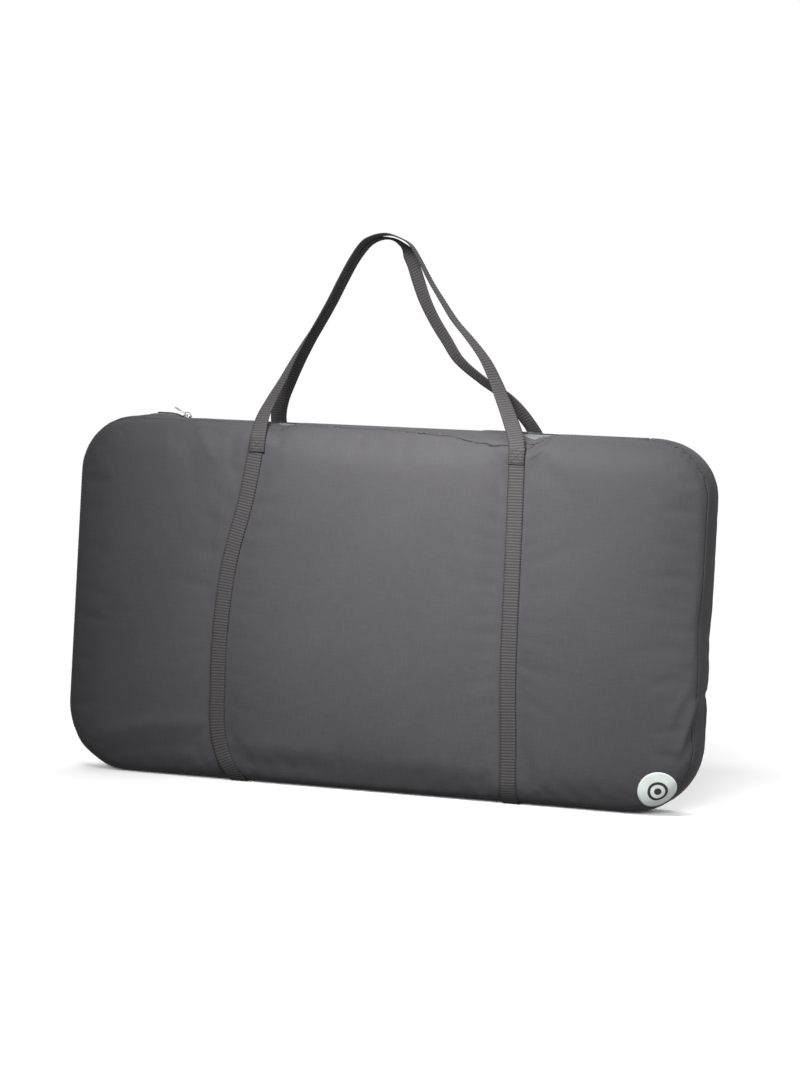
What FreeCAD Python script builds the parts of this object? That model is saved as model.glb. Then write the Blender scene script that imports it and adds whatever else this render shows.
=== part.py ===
"""A flat-folding playpen packed in its zipped carry bag, with two webbing handles.

The bag stands on its long edge.  +X runs along the bag, +Y from its front face to its back
face, +Z up.  The origin is on the floor under the middle of the bag.  Sizes are millimetres.

Every cloth piece of the bag is cut from one pillow shape: a rounded block, grown or shrunk by
the thickness of what lies on it or inside it.  The folded playpen inside is a base frame and a
top rail, each of two bent tubes, four folding corner posts, the mattress and the mesh walls.
"""
import FreeCAD, Part
import math
import os

import Sketcher
from FreeCAD import Vector

SIZES = {
    # the bag
    "bag_width": 1000, "bag_height": 558, "bag_depth": 132,
    "top_corner": 88, "bottom_corner": 108, "edge_round": 40, "base_press": 4,
    "cloth": 1.6, "seam_reach": 44, "binding": 1.2, "binding_width": 12,
    # the zip
    "zip_inset": 100, "zip_window": 20, "tape_width": 17, "tape_thick": 1, "tape_gap": 1.6,
    "coil_wide": 2.6, "coil_high": 2.4, "stop_length": 5,
    "slider_inset": 60, "slider_length": 13, "slider_width": 10, "slider_play": 0.3,
    "bridge_rise": 3.6, "bridge_width": 2.4, "bridge_wall": 1.4,
    "eye_bar": 1.4, "pull_length": 26, "pull_width": 7, "pull_raise": 28,
    # the webbing
    "webbing_width": 25, "webbing": 2, "handle_drop": 28, "handle_rise": 295, "tab_length": 22,
    "handles_apart": 3, "thread": 0.4, "thread_width": 1.2, "stitch_margin": 4,
    # the round patch
    "patch_radius": 30, "patch_thick": 0.8, "patch_inset": 49, "patch_up": 36,
    # the folded playpen
    "end_room": 32, "top_room": 36, "front_room": 5.6, "pack_corner": 84, "play": 0.3,
    "rail_tube": 25, "base_tube": 22, "post_tube": 18, "tube_wall": 1.2, "tube_gap": 1.2,
    "joiner_length": 80, "post_inset": 116, "post_length": 290, "pin_size": 6, "pin_play": 0.1,
    "bracket_length": 32, "bracket_wall": 3, "knee_length": 38,
    "mattress_inset": 14, "mattress_round": 12, "board_thick": 3, "board_inset": 8,
    "wall_inset": 88, "wall_pile": 26, "wall_sag": 10, "sheet_thick": 1.5, "sheet_inset": 12,
    "foot_size": 26, "foot_high": 6, "foot_inset": 110,
}

doc = FreeCAD.newDocument("packed_playpen")
sizes = doc.addObject("Spreadsheet::Sheet", "sizes")
for row, (alias, value) in enumerate(SIZES.items(), start=1):
    sizes.set(f"A{row}", alias)
    sizes.set(f"B{row}", str(value))
    sizes.setAlias(f"B{row}", alias)
doc.recompute()

NODES = []


def size(alias):
    """The value of one cell of the sheet."""
    return float(getattr(sizes, alias))


def bind(thing, **expressions):
    """Bind properties to expressions on the sheet; a double underscore stands for a dot."""
    for prop, text in expressions.items():
        thing.setExpression(prop.replace("__", "."), text)
    return thing


def place(thing, across="0", back="0", up="0"):
    """Bind where an object stands."""
    return bind(thing, Placement__Base__x=across, Placement__Base__y=back, Placement__Base__z=up)


def node(thing, label):
    """Mark an object as a sub-part that is written to its own file."""
    thing.Label = label
    NODES.append(thing)
    return thing


def block(name, across, back, up, length, width, height):
    """A Part box between expressions: its low corner and its three sides."""
    box = doc.addObject("Part::Box", name)
    bind(box, Length=length, Width=width, Height=height)
    return place(box, across, back, up)


def rod(name, radius, height, across, back, up, along="z"):
    """A Part cylinder that starts at a point and runs along an axis."""
    turned = {"x": (Vector(0, 1, 0), 90), "y": (Vector(1, 0, 0), -90), "z": (Vector(0, 0, 1), 0)}
    cylinder = doc.addObject("Part::Cylinder", name)
    cylinder.Placement.Rotation = FreeCAD.Rotation(*turned[along])
    bind(cylinder, Radius=radius, Height=height)
    return place(cylinder, across, back, up)


def cut(name, base, tool):
    """Base without tool."""
    made = doc.addObject("Part::Cut", name)
    made.Base, made.Tool = base, tool
    return made


def common(name, first, second):
    """What two objects share."""
    made = doc.addObject("Part::Common", name)
    made.Base, made.Tool = first, second
    return made


def fuse(name, *shapes):
    """Several objects as one solid."""
    made = doc.addObject("Part::MultiFuse", name)
    made.Shapes = list(shapes)
    return made


def group(name, *shapes):
    """Several separate solids as one object."""
    made = doc.addObject("Part::Compound", name)
    made.Links = list(shapes)
    return made


def feature(name, shape):
    """A shape made with Part's own functions."""
    made = doc.addObject("Part::Feature", name)
    made.Shape = shape
    return made


def edge_names(shape, wanted):
    """The names of the edges of a shape that answer a test."""
    return [f"Edge{i}" for i, edge in enumerate(shape.Edges, start=1) if wanted(edge)]


def runs_along(edge, axis):
    """True for a straight edge that is parallel to an axis."""
    if edge.Curve.TypeId != "Part::GeomLine":
        return False
    return abs(edge.Curve.Direction.dot(axis)) > 0.999


def round_edges(body, name, radius, wanted):
    """A PartDesign fillet on the edges of a body's tip that answer a test."""
    doc.recompute()
    base = body.Tip
    fillet = body.newObject("PartDesign::Fillet", name)
    fillet.Base = (base, edge_names(base.Shape, wanted))
    fillet.setExpression("Radius", radius)
    doc.recompute()
    return fillet


# ---------------------------------------------------------------- the pillow shape of the bag
Y_AXIS = Vector(0, 1, 0)


def pillow(name, grow):
    """The bag's rounded block, grown all round by an expression, and pressed flat underneath."""
    body = doc.addObject("PartDesign::Body", name)
    box = body.newObject("PartDesign::AdditiveBox", name + "_block")
    bind(box, Length=f"sizes.bag_width + 2 * ({grow})", Width=f"sizes.bag_depth + 2 * ({grow})",
         Height=f"sizes.bag_height - sizes.webbing + sizes.base_press + 2 * ({grow})")
    place(box, f"-sizes.bag_width / 2 - ({grow})", f"-sizes.bag_depth / 2 - ({grow})",
          f"sizes.webbing - sizes.base_press - ({grow})")
    middle = size("bag_height") / 2
    round_edges(body, name + "_top", f"sizes.top_corner + ({grow})",
                lambda e: runs_along(e, Y_AXIS) and e.CenterOfMass.z > middle)
    round_edges(body, name + "_bottom", f"sizes.bottom_corner + ({grow})",
                lambda e: runs_along(e, Y_AXIS) and e.CenterOfMass.z < middle)
    face = size("bag_depth") / 4
    round_edges(body, name + "_rim", f"sizes.edge_round + ({grow})",
                lambda e: abs(e.CenterOfMass.y) > face)
    floor = body.newObject("PartDesign::SubtractiveBox", name + "_floor")
    bind(floor, Length="2 * sizes.bag_width", Width="2 * sizes.bag_depth",
         Height="4 * sizes.base_press")
    place(floor, "-sizes.bag_width", "-sizes.bag_depth",
          f"sizes.webbing - ({grow}) - 4 * sizes.base_press")
    doc.recompute()
    return body


bag_outside = pillow("bag_outside", "0")
bag_inside = pillow("bag_inside", "-sizes.cloth")
binding_inside = pillow("binding_inside", "-sizes.cloth - sizes.binding")
strap_outside = pillow("strap_outside", "sizes.webbing")
tab_outside = pillow("tab_outside", "2 * sizes.webbing")
thread_outside = pillow("thread_outside", "2 * sizes.webbing + sizes.thread")
patch_outside = pillow("patch_outside", "sizes.patch_thick")

cloth_shell = cut("cloth_shell", bag_outside, bag_inside)
strap_shell = cut("strap_shell", strap_outside, bag_outside)
tab_shell = cut("tab_shell", tab_outside, strap_outside)
thread_shell = cut("thread_shell", thread_outside, tab_outside)
patch_shell = cut("patch_shell", patch_outside, bag_outside)
binding_shell = cut("binding_shell", bag_inside, binding_inside)


# ---------------------------------------------------------------- cloth panels and gussets
def panels():
    """Front and back panels, the gusset round the sides and base, and the two top strips."""
    for side, low in (("front", "-sizes.bag_depth"), ("back", "sizes.seam_reach")):
        zone = block(f"{side}_zone", "-sizes.bag_width", low, "-sizes.bag_depth",
                     "2 * sizes.bag_width", "sizes.bag_depth - sizes.seam_reach",
                     "2 * sizes.bag_height")
        node(common(f"{side}_panel_cut", cloth_shell, zone), f"{side}_panel")
        low = "-sizes.seam_reach - sizes.binding_width / 2" if side == "front" else (
            "sizes.seam_reach - sizes.binding_width / 2")
        strip = block(f"{side}_binding_zone", "-sizes.bag_width", low, "-sizes.bag_depth",
                      "2 * sizes.bag_width", "sizes.binding_width", "2 * sizes.bag_height")
        node(common(f"{side}_binding_cut", binding_shell, strip), f"{side}_seam_binding")
    band = block("gusset_zone", "-sizes.bag_width", "-sizes.seam_reach", "-sizes.bag_depth",
                 "2 * sizes.bag_width", "2 * sizes.seam_reach", "2 * sizes.bag_height")
    top = block("top_zone", "sizes.zip_inset - sizes.bag_width / 2", "-sizes.bag_depth",
                "sizes.bag_height / 2", "sizes.bag_width - 2 * sizes.zip_inset",
                "2 * sizes.bag_depth", "sizes.bag_height")
    gusset = common("gusset_ring", cloth_shell, band)
    node(cut("side_gusset_cut", gusset, top), "side_and_base_gusset")
    upper = common("gusset_top", gusset, top)
    for side, low in (("front", "-sizes.seam_reach"), ("back", "sizes.zip_window / 2")):
        strip = block(f"{side}_top_zone", "-sizes.bag_width", low, "0", "2 * sizes.bag_width",
                      "sizes.seam_reach - sizes.zip_window / 2", "2 * sizes.bag_height")
        node(common(f"{side}_top_cut", upper, strip), f"top_strip_{side}")


# ---------------------------------------------------------------- the zip
ZIP_END = "(sizes.bag_width / 2 - sizes.zip_inset)"
TAPE_TOP = "(sizes.bag_height - sizes.cloth)"
COIL_TOP = f"({TAPE_TOP} + sizes.coil_high)"
SLIDER_AT = f"(sizes.slider_inset - {ZIP_END})"
PLATE_LOW = f"({COIL_TOP} + sizes.slider_play)"
EYE_UP = f"({PLATE_LOW} + sizes.tape_thick + sizes.play + sizes.eye_bar / 2)"


def zip_fastener():
    """Two tapes sewn under the top strips, a coil on each, and the stops at both ends."""
    for side, tape, coil in (
        ("front", "-sizes.tape_gap / 2 - sizes.tape_width",
         "-sizes.tape_gap / 2 - sizes.coil_wide"),
        ("back", "sizes.tape_gap / 2", "sizes.tape_gap / 2"),
    ):
        node(block(f"{side}_tape", f"sizes.play - {ZIP_END}", tape,
                   f"{TAPE_TOP} - sizes.tape_thick", f"2 * {ZIP_END} - 2 * sizes.play",
                   "sizes.tape_width", "sizes.tape_thick"), f"zip_tape_{side}")
        node(block(f"{side}_coil", f"2 * sizes.stop_length - {ZIP_END}", coil, TAPE_TOP,
                   f"2 * {ZIP_END} - 4 * sizes.stop_length", "sizes.coil_wide",
                   "sizes.coil_high"), f"zip_coil_{side}")
    stops = []
    for end, across in (("left", f"sizes.stop_length - sizes.play - {ZIP_END}"),
                        ("right", f"{ZIP_END} - 2 * sizes.stop_length + sizes.play")):
        stops.append(block(f"stop_{end}", across, "-sizes.tape_gap / 2 - sizes.coil_wide", TAPE_TOP,
                           "sizes.stop_length", "sizes.tape_gap + 2 * sizes.coil_wide",
                           "sizes.coil_high"))
    node(group("stops", *stops), "zip_end_stops")


def zip_slider():
    """The slider: two plates joined by a web between the coils, and a bridge for the pull."""
    left = f"{SLIDER_AT} - sizes.slider_length / 2"
    under_low = f"({TAPE_TOP} - 2 * sizes.tape_thick - sizes.slider_play)"
    parts = [
        block("slider_plate", left, "-sizes.slider_width / 2", PLATE_LOW,
              "sizes.slider_length", "sizes.slider_width", "sizes.tape_thick"),
        block("slider_under", left, "-sizes.slider_width / 2", under_low,
              "sizes.slider_length", "sizes.slider_width", "sizes.tape_thick"),
        block("slider_web", f"{SLIDER_AT} - sizes.slider_length / 4", "-sizes.tape_gap / 4",
              under_low, "sizes.slider_length / 2", "sizes.tape_gap / 2",
              f"{PLATE_LOW} - {under_low} + sizes.tape_thick / 2"),
    ]
    flange_in = "(sizes.tape_gap / 2 + sizes.coil_wide + sizes.slider_play)"
    for side, low in (("front", "-sizes.slider_width / 2"), ("back", flange_in)):
        parts.append(block(f"slider_flange_{side}", left, low, f"{TAPE_TOP} + sizes.slider_play",
                           "sizes.slider_length", f"sizes.slider_width / 2 - {flange_in}",
                           "sizes.coil_high + sizes.tape_thick / 2"))
    arch = block("bridge_block", f"{left} + sizes.bridge_wall / 2", "-sizes.bridge_width / 2",
                 f"{PLATE_LOW} + sizes.tape_thick / 2", "sizes.slider_length - sizes.bridge_wall",
                 "sizes.bridge_width", "sizes.bridge_rise + sizes.tape_thick / 2")
    gap = block("bridge_gap", f"{left} + 1.5 * sizes.bridge_wall", "-sizes.bridge_width",
                f"{PLATE_LOW} + sizes.tape_thick", "sizes.slider_length - 3 * sizes.bridge_wall",
                "2 * sizes.bridge_width", "sizes.bridge_rise - sizes.bridge_wall")
    parts.append(cut("bridge", arch, gap))
    node(fuse("slider_fused", *parts), "zip_slider")


def zip_pull():
    """The pull tab: an eye bar under the bridge, two arms and a plate with a finger hole."""
    arm_in = "(sizes.bridge_width / 2 + sizes.play)"
    low = "-sizes.eye_bar / 2"
    parts = [rod("eye_bar_rod", "sizes.eye_bar / 2", "sizes.pull_width", "0",
                 "-sizes.pull_width / 2", "0", "y")]
    for side, front in (("front", "-sizes.pull_width / 2"), ("back", arm_in)):
        parts.append(block(f"pull_arm_{side}", "-0.4 * sizes.pull_length", front, low,
                           "0.4 * sizes.pull_length", f"sizes.pull_width / 2 - {arm_in}",
                           "sizes.eye_bar"))
    plate = block("pull_plate", "-sizes.pull_length", "-sizes.pull_width / 2", low,
                  "0.65 * sizes.pull_length", "sizes.pull_width", "sizes.eye_bar")
    hole = rod("pull_hole", "0.28 * sizes.pull_width", "3 * sizes.eye_bar",
               "0.5 * sizes.pull_width - sizes.pull_length", "0", "-1.5 * sizes.eye_bar")
    parts.append(cut("pull_plate_drilled", plate, hole))
    pull = fuse("pull_fused", *parts)
    pull.Placement.Rotation = FreeCAD.Rotation(Y_AXIS, size("pull_raise"))
    bind(pull, Placement__Rotation__Angle="sizes.pull_raise")
    node(place(pull, SLIDER_AT, "0", EYE_UP), "zip_pull_tab")


# ---------------------------------------------------------------- webbing
# Each strap's middle line up the face of the bag, from the floor to the root of the handle,
# as (across, share of the handle root's height).
STRAP_LINES = {
    "left": [(-200, 0.0), (-236, 0.12), (-243, 0.28), (-243, 0.46), (-234, 0.64), (-213, 0.82),
             (-199, 1.0)],
    "right": [(224, 0.0), (220, 0.16), (214, 0.36), (212, 0.58), (211, 0.8), (209, 1.0)],
}
# Each handle's middle line from its left root to its right root, as (across, share of the rise
# from root to crown).
HANDLE_LINES = {
    "front": [(-199, 0.0), (-199, 0.1), (-192, 0.19), (-179, 0.29), (-165, 0.39), (-148, 0.49),
              (-130, 0.585), (-113, 0.68), (-97, 0.78), (-80, 0.88), (-62, 0.96), (-44, 0.99),
              (-24, 1.0), (-6, 0.985), (12, 0.955), (27, 0.89), (47, 0.785), (68, 0.69),
              (89, 0.6), (116, 0.51), (140, 0.42), (158, 0.325), (174, 0.23), (190, 0.14),
              (205, 0.05), (209, 0.0)],
    "back": [(-199, 0.0), (-199, 0.1), (-192, 0.19), (-179, 0.29), (-165, 0.39), (-148, 0.49),
             (-130, 0.585), (-113, 0.68), (-97, 0.78), (-80, 0.88), (-62, 0.955), (-46, 0.985),
             (-30, 0.99), (-13, 0.97), (0, 0.93), (11, 0.87), (21, 0.79), (33, 0.7), (50, 0.605),
             (70, 0.515), (92, 0.42), (129, 0.33), (169, 0.25), (197, 0.155), (211, 0.075),
             (209, 0.0)],
}
LEAN_REACH, LEAN_POWER = 0.18, 1.5      # how soon the handles lean in towards each other
RIBBON_SECTIONS = 41
HANDLE_ROOT = "(sizes.bag_height - sizes.handle_drop)"


def smooth_line(points):
    """A spline through points."""
    curve = Part.BSplineCurve()
    curve.interpolate([Vector(*p) for p in points])
    return curve


def strap(side):
    """One strap up the front, under the base and up the back, ending at the handle roots."""
    root = size("bag_height") - size("handle_drop")
    half, deep = size("webbing_width") / 2, size("bag_depth")
    line = [(across, share * root) for across, share in STRAP_LINES[side]]
    line[0] = (line[0][0], -deep / 8)
    sides = [smooth_line([(x + way * half, -deep, z) for x, z in line]) for way in (-1, 1)]
    ends = [Part.makeLine(*(curve.value(getattr(curve, end)) for curve in sides))
            for end in ("FirstParameter", "LastParameter")]
    edges = [curve.toShape() for curve in sides] + ends
    face = Part.Face(Part.Wire(Part.__sortEdges__(edges)))
    band = feature(f"{side}_band", face.extrude(Vector(0, 2 * deep, 0)))
    node(common(f"{side}_strap_cut", strap_shell, band), f"strap_{side}")


def handle_ends():
    """The sewn ends of both handles, each with its box of stitches."""
    threads = []
    for side, low in (("front", "-sizes.bag_depth"), ("back", "0")):
        for hand in ("left", "right"):
            across = STRAP_LINES[hand][-1][0]
            name = f"{side}_{hand}"
            zone = block(f"{name}_tab_zone", f"{across} - sizes.webbing_width / 2", low,
                         f"{HANDLE_ROOT} - sizes.tab_length", "sizes.webbing_width",
                         "sizes.bag_depth", "sizes.tab_length")
            node(common(f"{name}_tab", tab_shell, zone), f"{side}_handle_end_{hand}")
            threads.append(common(f"{name}_stitch", thread_shell,
                                  stitch_pattern(name, across, low)))
    node(group("stitches", *threads), "box_stitching")


def stitch_pattern(name, across, low):
    """A box with a cross in it, as a block of threads that reaches through the tab."""
    wide = "(sizes.webbing_width - 2 * sizes.stitch_margin)"
    tall = "(sizes.tab_length - 2 * sizes.stitch_margin)"
    left = f"({across} - {wide} / 2)"
    base = f"({HANDLE_ROOT} - sizes.tab_length + sizes.stitch_margin)"
    outer = block(f"{name}_box", left, low, base, wide, "sizes.bag_depth", tall)
    inner = block(f"{name}_window", f"{left} + sizes.thread_width", low,
                  f"{base} + sizes.thread_width", f"{wide} - 2 * sizes.thread_width",
                  "sizes.bag_depth", f"{tall} - 2 * sizes.thread_width")
    parts = [cut(f"{name}_frame", outer, inner)]
    run, rise = f"({wide} - sizes.thread_width)", f"({tall} - sizes.thread_width)"
    for turn, way, start in (("up", -1, base), ("down", 1, f"({base} + {rise})")):
        bar = block(f"{name}_cross_{turn}", left, low, start, f"hypot({run}; {rise})",
                    "sizes.bag_depth", "sizes.thread_width")
        slant = math.degrees(math.atan2(
            size("tab_length") - 2 * size("stitch_margin") - size("thread_width"),
            size("webbing_width") - 2 * size("stitch_margin") - size("thread_width")))
        bar.Placement.Rotation = FreeCAD.Rotation(Y_AXIS, way * slant)
        parts.append(bar)
    return fuse(f"{name}_pattern", *parts)


def outward_at(height, lift):
    """How far from the middle plane the bag's face lies at a height, with a lift on it."""
    centre = size("bag_height") - size("edge_round")
    reach = size("edge_round") + lift
    drop = max(height - centre, 0)
    return size("bag_depth") / 2 - size("edge_round") + math.sqrt(reach ** 2 - drop ** 2)


def handle(side, facing):
    """One handle: a webbing ribbon that twists from flat on the bag to flat over the crown."""
    half, thick = size("webbing_width") / 2, size("webbing")
    root = size("bag_height") - size("handle_drop")
    rise = size("handle_drop") + size("handle_rise")
    root_out = outward_at(root, 1.5 * thick)
    crown_out = half + size("handles_apart") / 2
    curve = smooth_line([
        (x, facing * (crown_out + (root_out - crown_out)
                      * math.exp(-(s / LEAN_REACH) ** LEAN_POWER)),
         root + size("play") + s * (rise - size("play")))
        for x, s in HANDLE_LINES[side]])
    crown_across = max(HANDLE_LINES[side], key=lambda point: point[1])[0]
    sections = []
    for i in range(RIBBON_SECTIONS):
        at = curve.FirstParameter + i / (RIBBON_SECTIONS - 1) * (
            curve.LastParameter - curve.FirstParameter)
        point, along = curve.value(at), curve.tangent(at)[0]
        if i in (0, RIBBON_SECTIONS - 1):
            along = Vector(0, 0, 1 if i == 0 else -1)
        climb = min(1, max(0, (point.z - root) / rise))
        twist = 90 * climb * (2 - climb)
        turn = math.radians(twist if point.x < crown_across else 180 - twist)
        wide = Vector(math.cos(turn), facing * math.sin(turn), 0)
        wide = (wide - along * wide.dot(along)).normalize() * half
        deep = along.cross(wide).normalize() * (thick / 2)
        sections.append([point - wide - deep, point + wide - deep, point + wide + deep,
                         point - wide + deep])
    node(feature(f"{side}_ribbon", ruled_solid(sections)), f"{side}_handle")


def ruled_solid(sections):
    """A closed solid through four-cornered sections, with straight rulings between them."""
    faces = [Part.Face(Part.makePolygon(end + end[:1])) for end in (sections[0], sections[-1])]
    for here, there in zip(sections, sections[1:]):
        for i, j in ((0, 1), (1, 2), (2, 3), (3, 0)):
            faces.append(Part.makeRuledSurface(Part.makeLine(here[i], here[j]),
                                               Part.makeLine(there[i], there[j])))
    shell = Part.makeShell(faces)
    shell.sewShape()
    solid = Part.makeSolid(shell)
    if solid.Volume < 0:
        solid.reverse()
    return solid


def patch():
    """The round patch on the lower right of the front face, where the face rounds under."""
    disc = rod("patch_disc", "sizes.patch_radius", "sizes.bag_depth / 2 - sizes.seam_reach + 10",
               "sizes.bag_width / 2 - sizes.patch_inset", "-sizes.bag_depth / 2 - 10",
               "sizes.patch_up", "y")
    node(common("patch_cut", patch_shell, disc), "round_patch")


# ---------------------------------------------------------------- the folded playpen
# The pack stands on the base of the bag.  Both frames' long tubes run at the same two heights,
# and the base frame's brackets nest in the rounded back rim of the bag.
LOW = "(sizes.webbing + sizes.cloth + sizes.play + sizes.bracket_wall + sizes.rail_tube / 2)"
HIGH = "(sizes.bag_height - sizes.top_room)"
RIM_BACK = "(sizes.bag_depth / 2 - sizes.edge_round)"
RIM_UP = "(sizes.webbing - sizes.base_press + sizes.edge_round)"
RIM_ROOM = ("(sizes.edge_round - sizes.cloth - sizes.binding - sizes.play"
            " - sizes.base_tube / 2 - sizes.bracket_wall)")
BASE_BACK = f"({RIM_BACK} + sqrt(pow({RIM_ROOM}; 2) - pow({RIM_UP} - {LOW}; 2)))"
POST_BACK = f"({BASE_BACK} - sizes.base_tube / 2 - sizes.post_tube / 2 - sizes.tube_gap)"
RAIL_BACK = f"({POST_BACK} - sizes.post_tube / 2 - sizes.rail_tube / 2 - sizes.tube_gap)"
PACK_FRONT = f"({RAIL_BACK} - sizes.rail_tube / 2 - sizes.bracket_wall)"
BOARD_FRONT = f"({PACK_FRONT} - sizes.play - sizes.board_thick)"
MATTRESS_FRONT = "(sizes.cloth + sizes.front_room - sizes.bag_depth / 2)"
SHEET_FRONT = f"({BASE_BACK} + sizes.base_tube / 2 + sizes.bracket_wall + sizes.play)"
REACH = "(sizes.bag_width / 2 - sizes.end_room)"
PIVOT = f"({REACH} - sizes.post_inset)"
KNEE = f"({PIVOT} - sizes.post_length)"
# From a long tube to the half post that folds beside it, and on to the half post after that.
POST_OFF = ("(sizes.base_tube / 2 + sizes.post_tube / 2 + sizes.bracket_wall"
            " + sizes.play)")
POST_STEP = "(sizes.post_tube + 2 * sizes.bracket_wall + 3 * sizes.play)"


def sketch_on(body, name, role):
    """A sketch on one of a body's origin planes."""
    sketch = body.newObject("Sketcher::SketchObject", name)
    plane = next(f for f in body.Origin.OriginFeatures if f.Role == role)
    sketch.AttachmentSupport = (plane, [""])
    sketch.MapMode = "FlatFace"
    return sketch


def bent_path(body, name):
    """A U lying on its side: out along the bottom, up the end and back along the top."""
    path = sketch_on(body, name, "XZ_Plane")
    out, bend, tall = 400, size("pack_corner"), 400
    line, circle = Part.LineSegment, Part.Circle
    path.addGeometry([
        line(Vector(0, 0), Vector(out - bend, 0)),
        Part.ArcOfCircle(circle(Vector(out - bend, bend), Vector(0, 0, 1), bend), -math.pi / 2, 0),
        line(Vector(out, bend), Vector(out, tall - bend)),
        Part.ArcOfCircle(circle(Vector(out - bend, tall - bend), Vector(0, 0, 1), bend), 0,
                         math.pi / 2),
        line(Vector(out - bend, tall), Vector(0, tall)),
    ])
    for first, end, second, start in ((0, 2, 1, 1), (1, 2, 2, 1), (2, 2, 3, 1), (3, 2, 4, 1)):
        path.addConstraint(Sketcher.Constraint("Tangent", first, end, second, start))
    path.addConstraint([
        Sketcher.Constraint("Horizontal", 0), Sketcher.Constraint("Vertical", 2),
        Sketcher.Constraint("Horizontal", 4), Sketcher.Constraint("Equal", 1, 3),
        Sketcher.Constraint("PointOnObject", 0, 1, -1),
        Sketcher.Constraint("Vertical", 0, 1, 4, 2),
    ])
    for alias, constraint, text in (
        ("gap", Sketcher.Constraint("DistanceX", -1, 1, 0, 1, 1), "sizes.play / 2"),
        ("bend", Sketcher.Constraint("Radius", 1, bend), "sizes.pack_corner"),
        ("reach", Sketcher.Constraint("DistanceX", -1, 1, 2, 1, out), None),
        ("height", Sketcher.Constraint("DistanceY", 0, 1, 4, 2, tall), f"{HIGH} - {LOW}"),
    ):
        path.addConstraint(constraint)
        path.renameConstraint(path.ConstraintCount - 1, alias)
        if text:
            path.setExpression(f"Constraints.{alias}", text)
    return path


def bent_half(name, tube, back, turned):
    """Half of a frame: a U of round tube, open towards the middle of the pack."""
    body = doc.addObject("PartDesign::Body", name)
    path = bent_path(body, name + "_path")
    path.setExpression("Constraints.reach", f"{REACH} - sizes.{tube} / 2")
    for kind, radius in (("Additive", f"sizes.{tube} / 2"),
                         ("Subtractive", f"sizes.{tube} / 2 - sizes.tube_wall")):
        ring = sketch_on(body, f"{name}_{kind.lower()}_ring", "YZ_Plane")
        ring.setExpression("AttachmentOffset.Base.z", "sizes.play / 2")
        ring.addGeometry(Part.Circle(Vector(), Vector(0, 0, 1), 5))
        ring.addConstraint(Sketcher.Constraint("Coincident", 0, 3, -1, 1))
        ring.addConstraint(Sketcher.Constraint("Radius", 0, 5))
        ring.renameConstraint(1, "radius")
        ring.setExpression("Constraints.radius", radius)
        pipe = body.newObject(f"PartDesign::{kind}Pipe", f"{name}_{kind.lower()}_pipe")
        pipe.Profile = ring
        pipe.Spine = path
    if turned:
        body.Placement.Rotation = FreeCAD.Rotation(Vector(0, 0, 1), 180)
    return place(body, "0", back, LOW)


def frames():
    """The top rail and the base frame, each two bent tubes on a pair of inner joiners."""
    for frame, tube, back in (("top_rail", "rail_tube", RAIL_BACK),
                              ("base_frame", "base_tube", BASE_BACK)):
        for hand in ("left", "right"):
            half = bent_half(f"{frame}_{hand}_half", tube, back, hand == "left")
            node(half, f"{frame}_{hand}")
        joiners = [rod(f"{frame}_joiner_{level}",
                       f"sizes.{tube} / 2 - sizes.tube_wall - sizes.play", "sizes.joiner_length",
                       "-sizes.joiner_length / 2", back, up, "x")
                   for level, up in (("low", LOW), ("high", HIGH))]
        node(group(f"{frame}_joiner_pair", *joiners), f"{frame}_joiners")


def pin(name, across, up, grow="0", length="2 * sizes.post_tube"):
    """A pin across a post, or the hole for it when it is grown by a play."""
    return rod(name, f"sizes.pin_size / 2 + {grow}", length, across, POST_BACK,
               f"{up} - ({length}) / 2")


def half_post(name, side, up):
    """A folded half post: a tube with a pin hole at each end."""
    long = "(sizes.post_length + 2 * sizes.pin_size)"
    middle = f"{side} * ({PIVOT} + {KNEE}) / 2"
    outer, bore = (rod(f"{name}_{kind}", radius, long, f"{middle} - {long} / 2", POST_BACK, up, "x")
                   for kind, radius in (("tube", "sizes.post_tube / 2"),
                                        ("bore", "sizes.post_tube / 2 - sizes.tube_wall")))
    holes = [pin(f"{name}_hole_{end}", f"{side} * {at}", up, "sizes.pin_play")
             for end, at in (("pivot", PIVOT), ("knee", KNEE))]
    return cut(f"{name}_drilled", outer, fuse(f"{name}_drill", bore, *holes))


def fork(name, side, tube, tube_back, rail_up, post_up):
    """A bracket: a clamp round the long tube, a web and two ears that hold a post's pin."""
    low_end = f"{side} * {PIVOT} - sizes.bracket_length / 2"
    clamp = rod(f"{name}_clamp", f"sizes.{tube} / 2 + sizes.bracket_wall", "sizes.bracket_length",
                low_end, tube_back, rail_up, "x")
    behind = tube_back == RAIL_BACK
    front = tube_back if behind else f"({POST_BACK} - sizes.post_tube / 2)"
    back = f"({POST_BACK} + sizes.post_tube / 2)" if behind else tube_back
    parts = [clamp]
    ear_off = "(sizes.post_tube / 2 + sizes.play)"
    for ear, low in (("lower", f"{post_up} - {ear_off} - sizes.bracket_wall"),
                     ("upper", f"{post_up} + {ear_off}")):
        parts.append(block(f"{name}_ear_{ear}", low_end, front, low, "sizes.bracket_length",
                           f"{back} - {front}", "sizes.bracket_wall"))
    web_high = f"(abs({post_up} - {rail_up}) + {ear_off} + sizes.bracket_wall)"
    web_low = rail_up if rail_up == LOW else f"({rail_up} - {web_high})"
    parts.append(block(f"{name}_web", low_end, f"{tube_back} - sizes.bracket_wall / 2", web_low,
                       "sizes.bracket_length", "sizes.bracket_wall", web_high))
    bore = rod(f"{name}_bore", f"sizes.{tube} / 2 + sizes.pin_play", "2 * sizes.bracket_length",
               f"{low_end} - sizes.bracket_length / 2", tube_back, rail_up, "x")
    hole = pin(f"{name}_hole", f"{side} * {PIVOT}", post_up, "sizes.pin_play")
    return cut(f"{name}_drilled", fuse(f"{name}_blank", *parts), fuse(f"{name}_drill", bore, hole))


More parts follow.
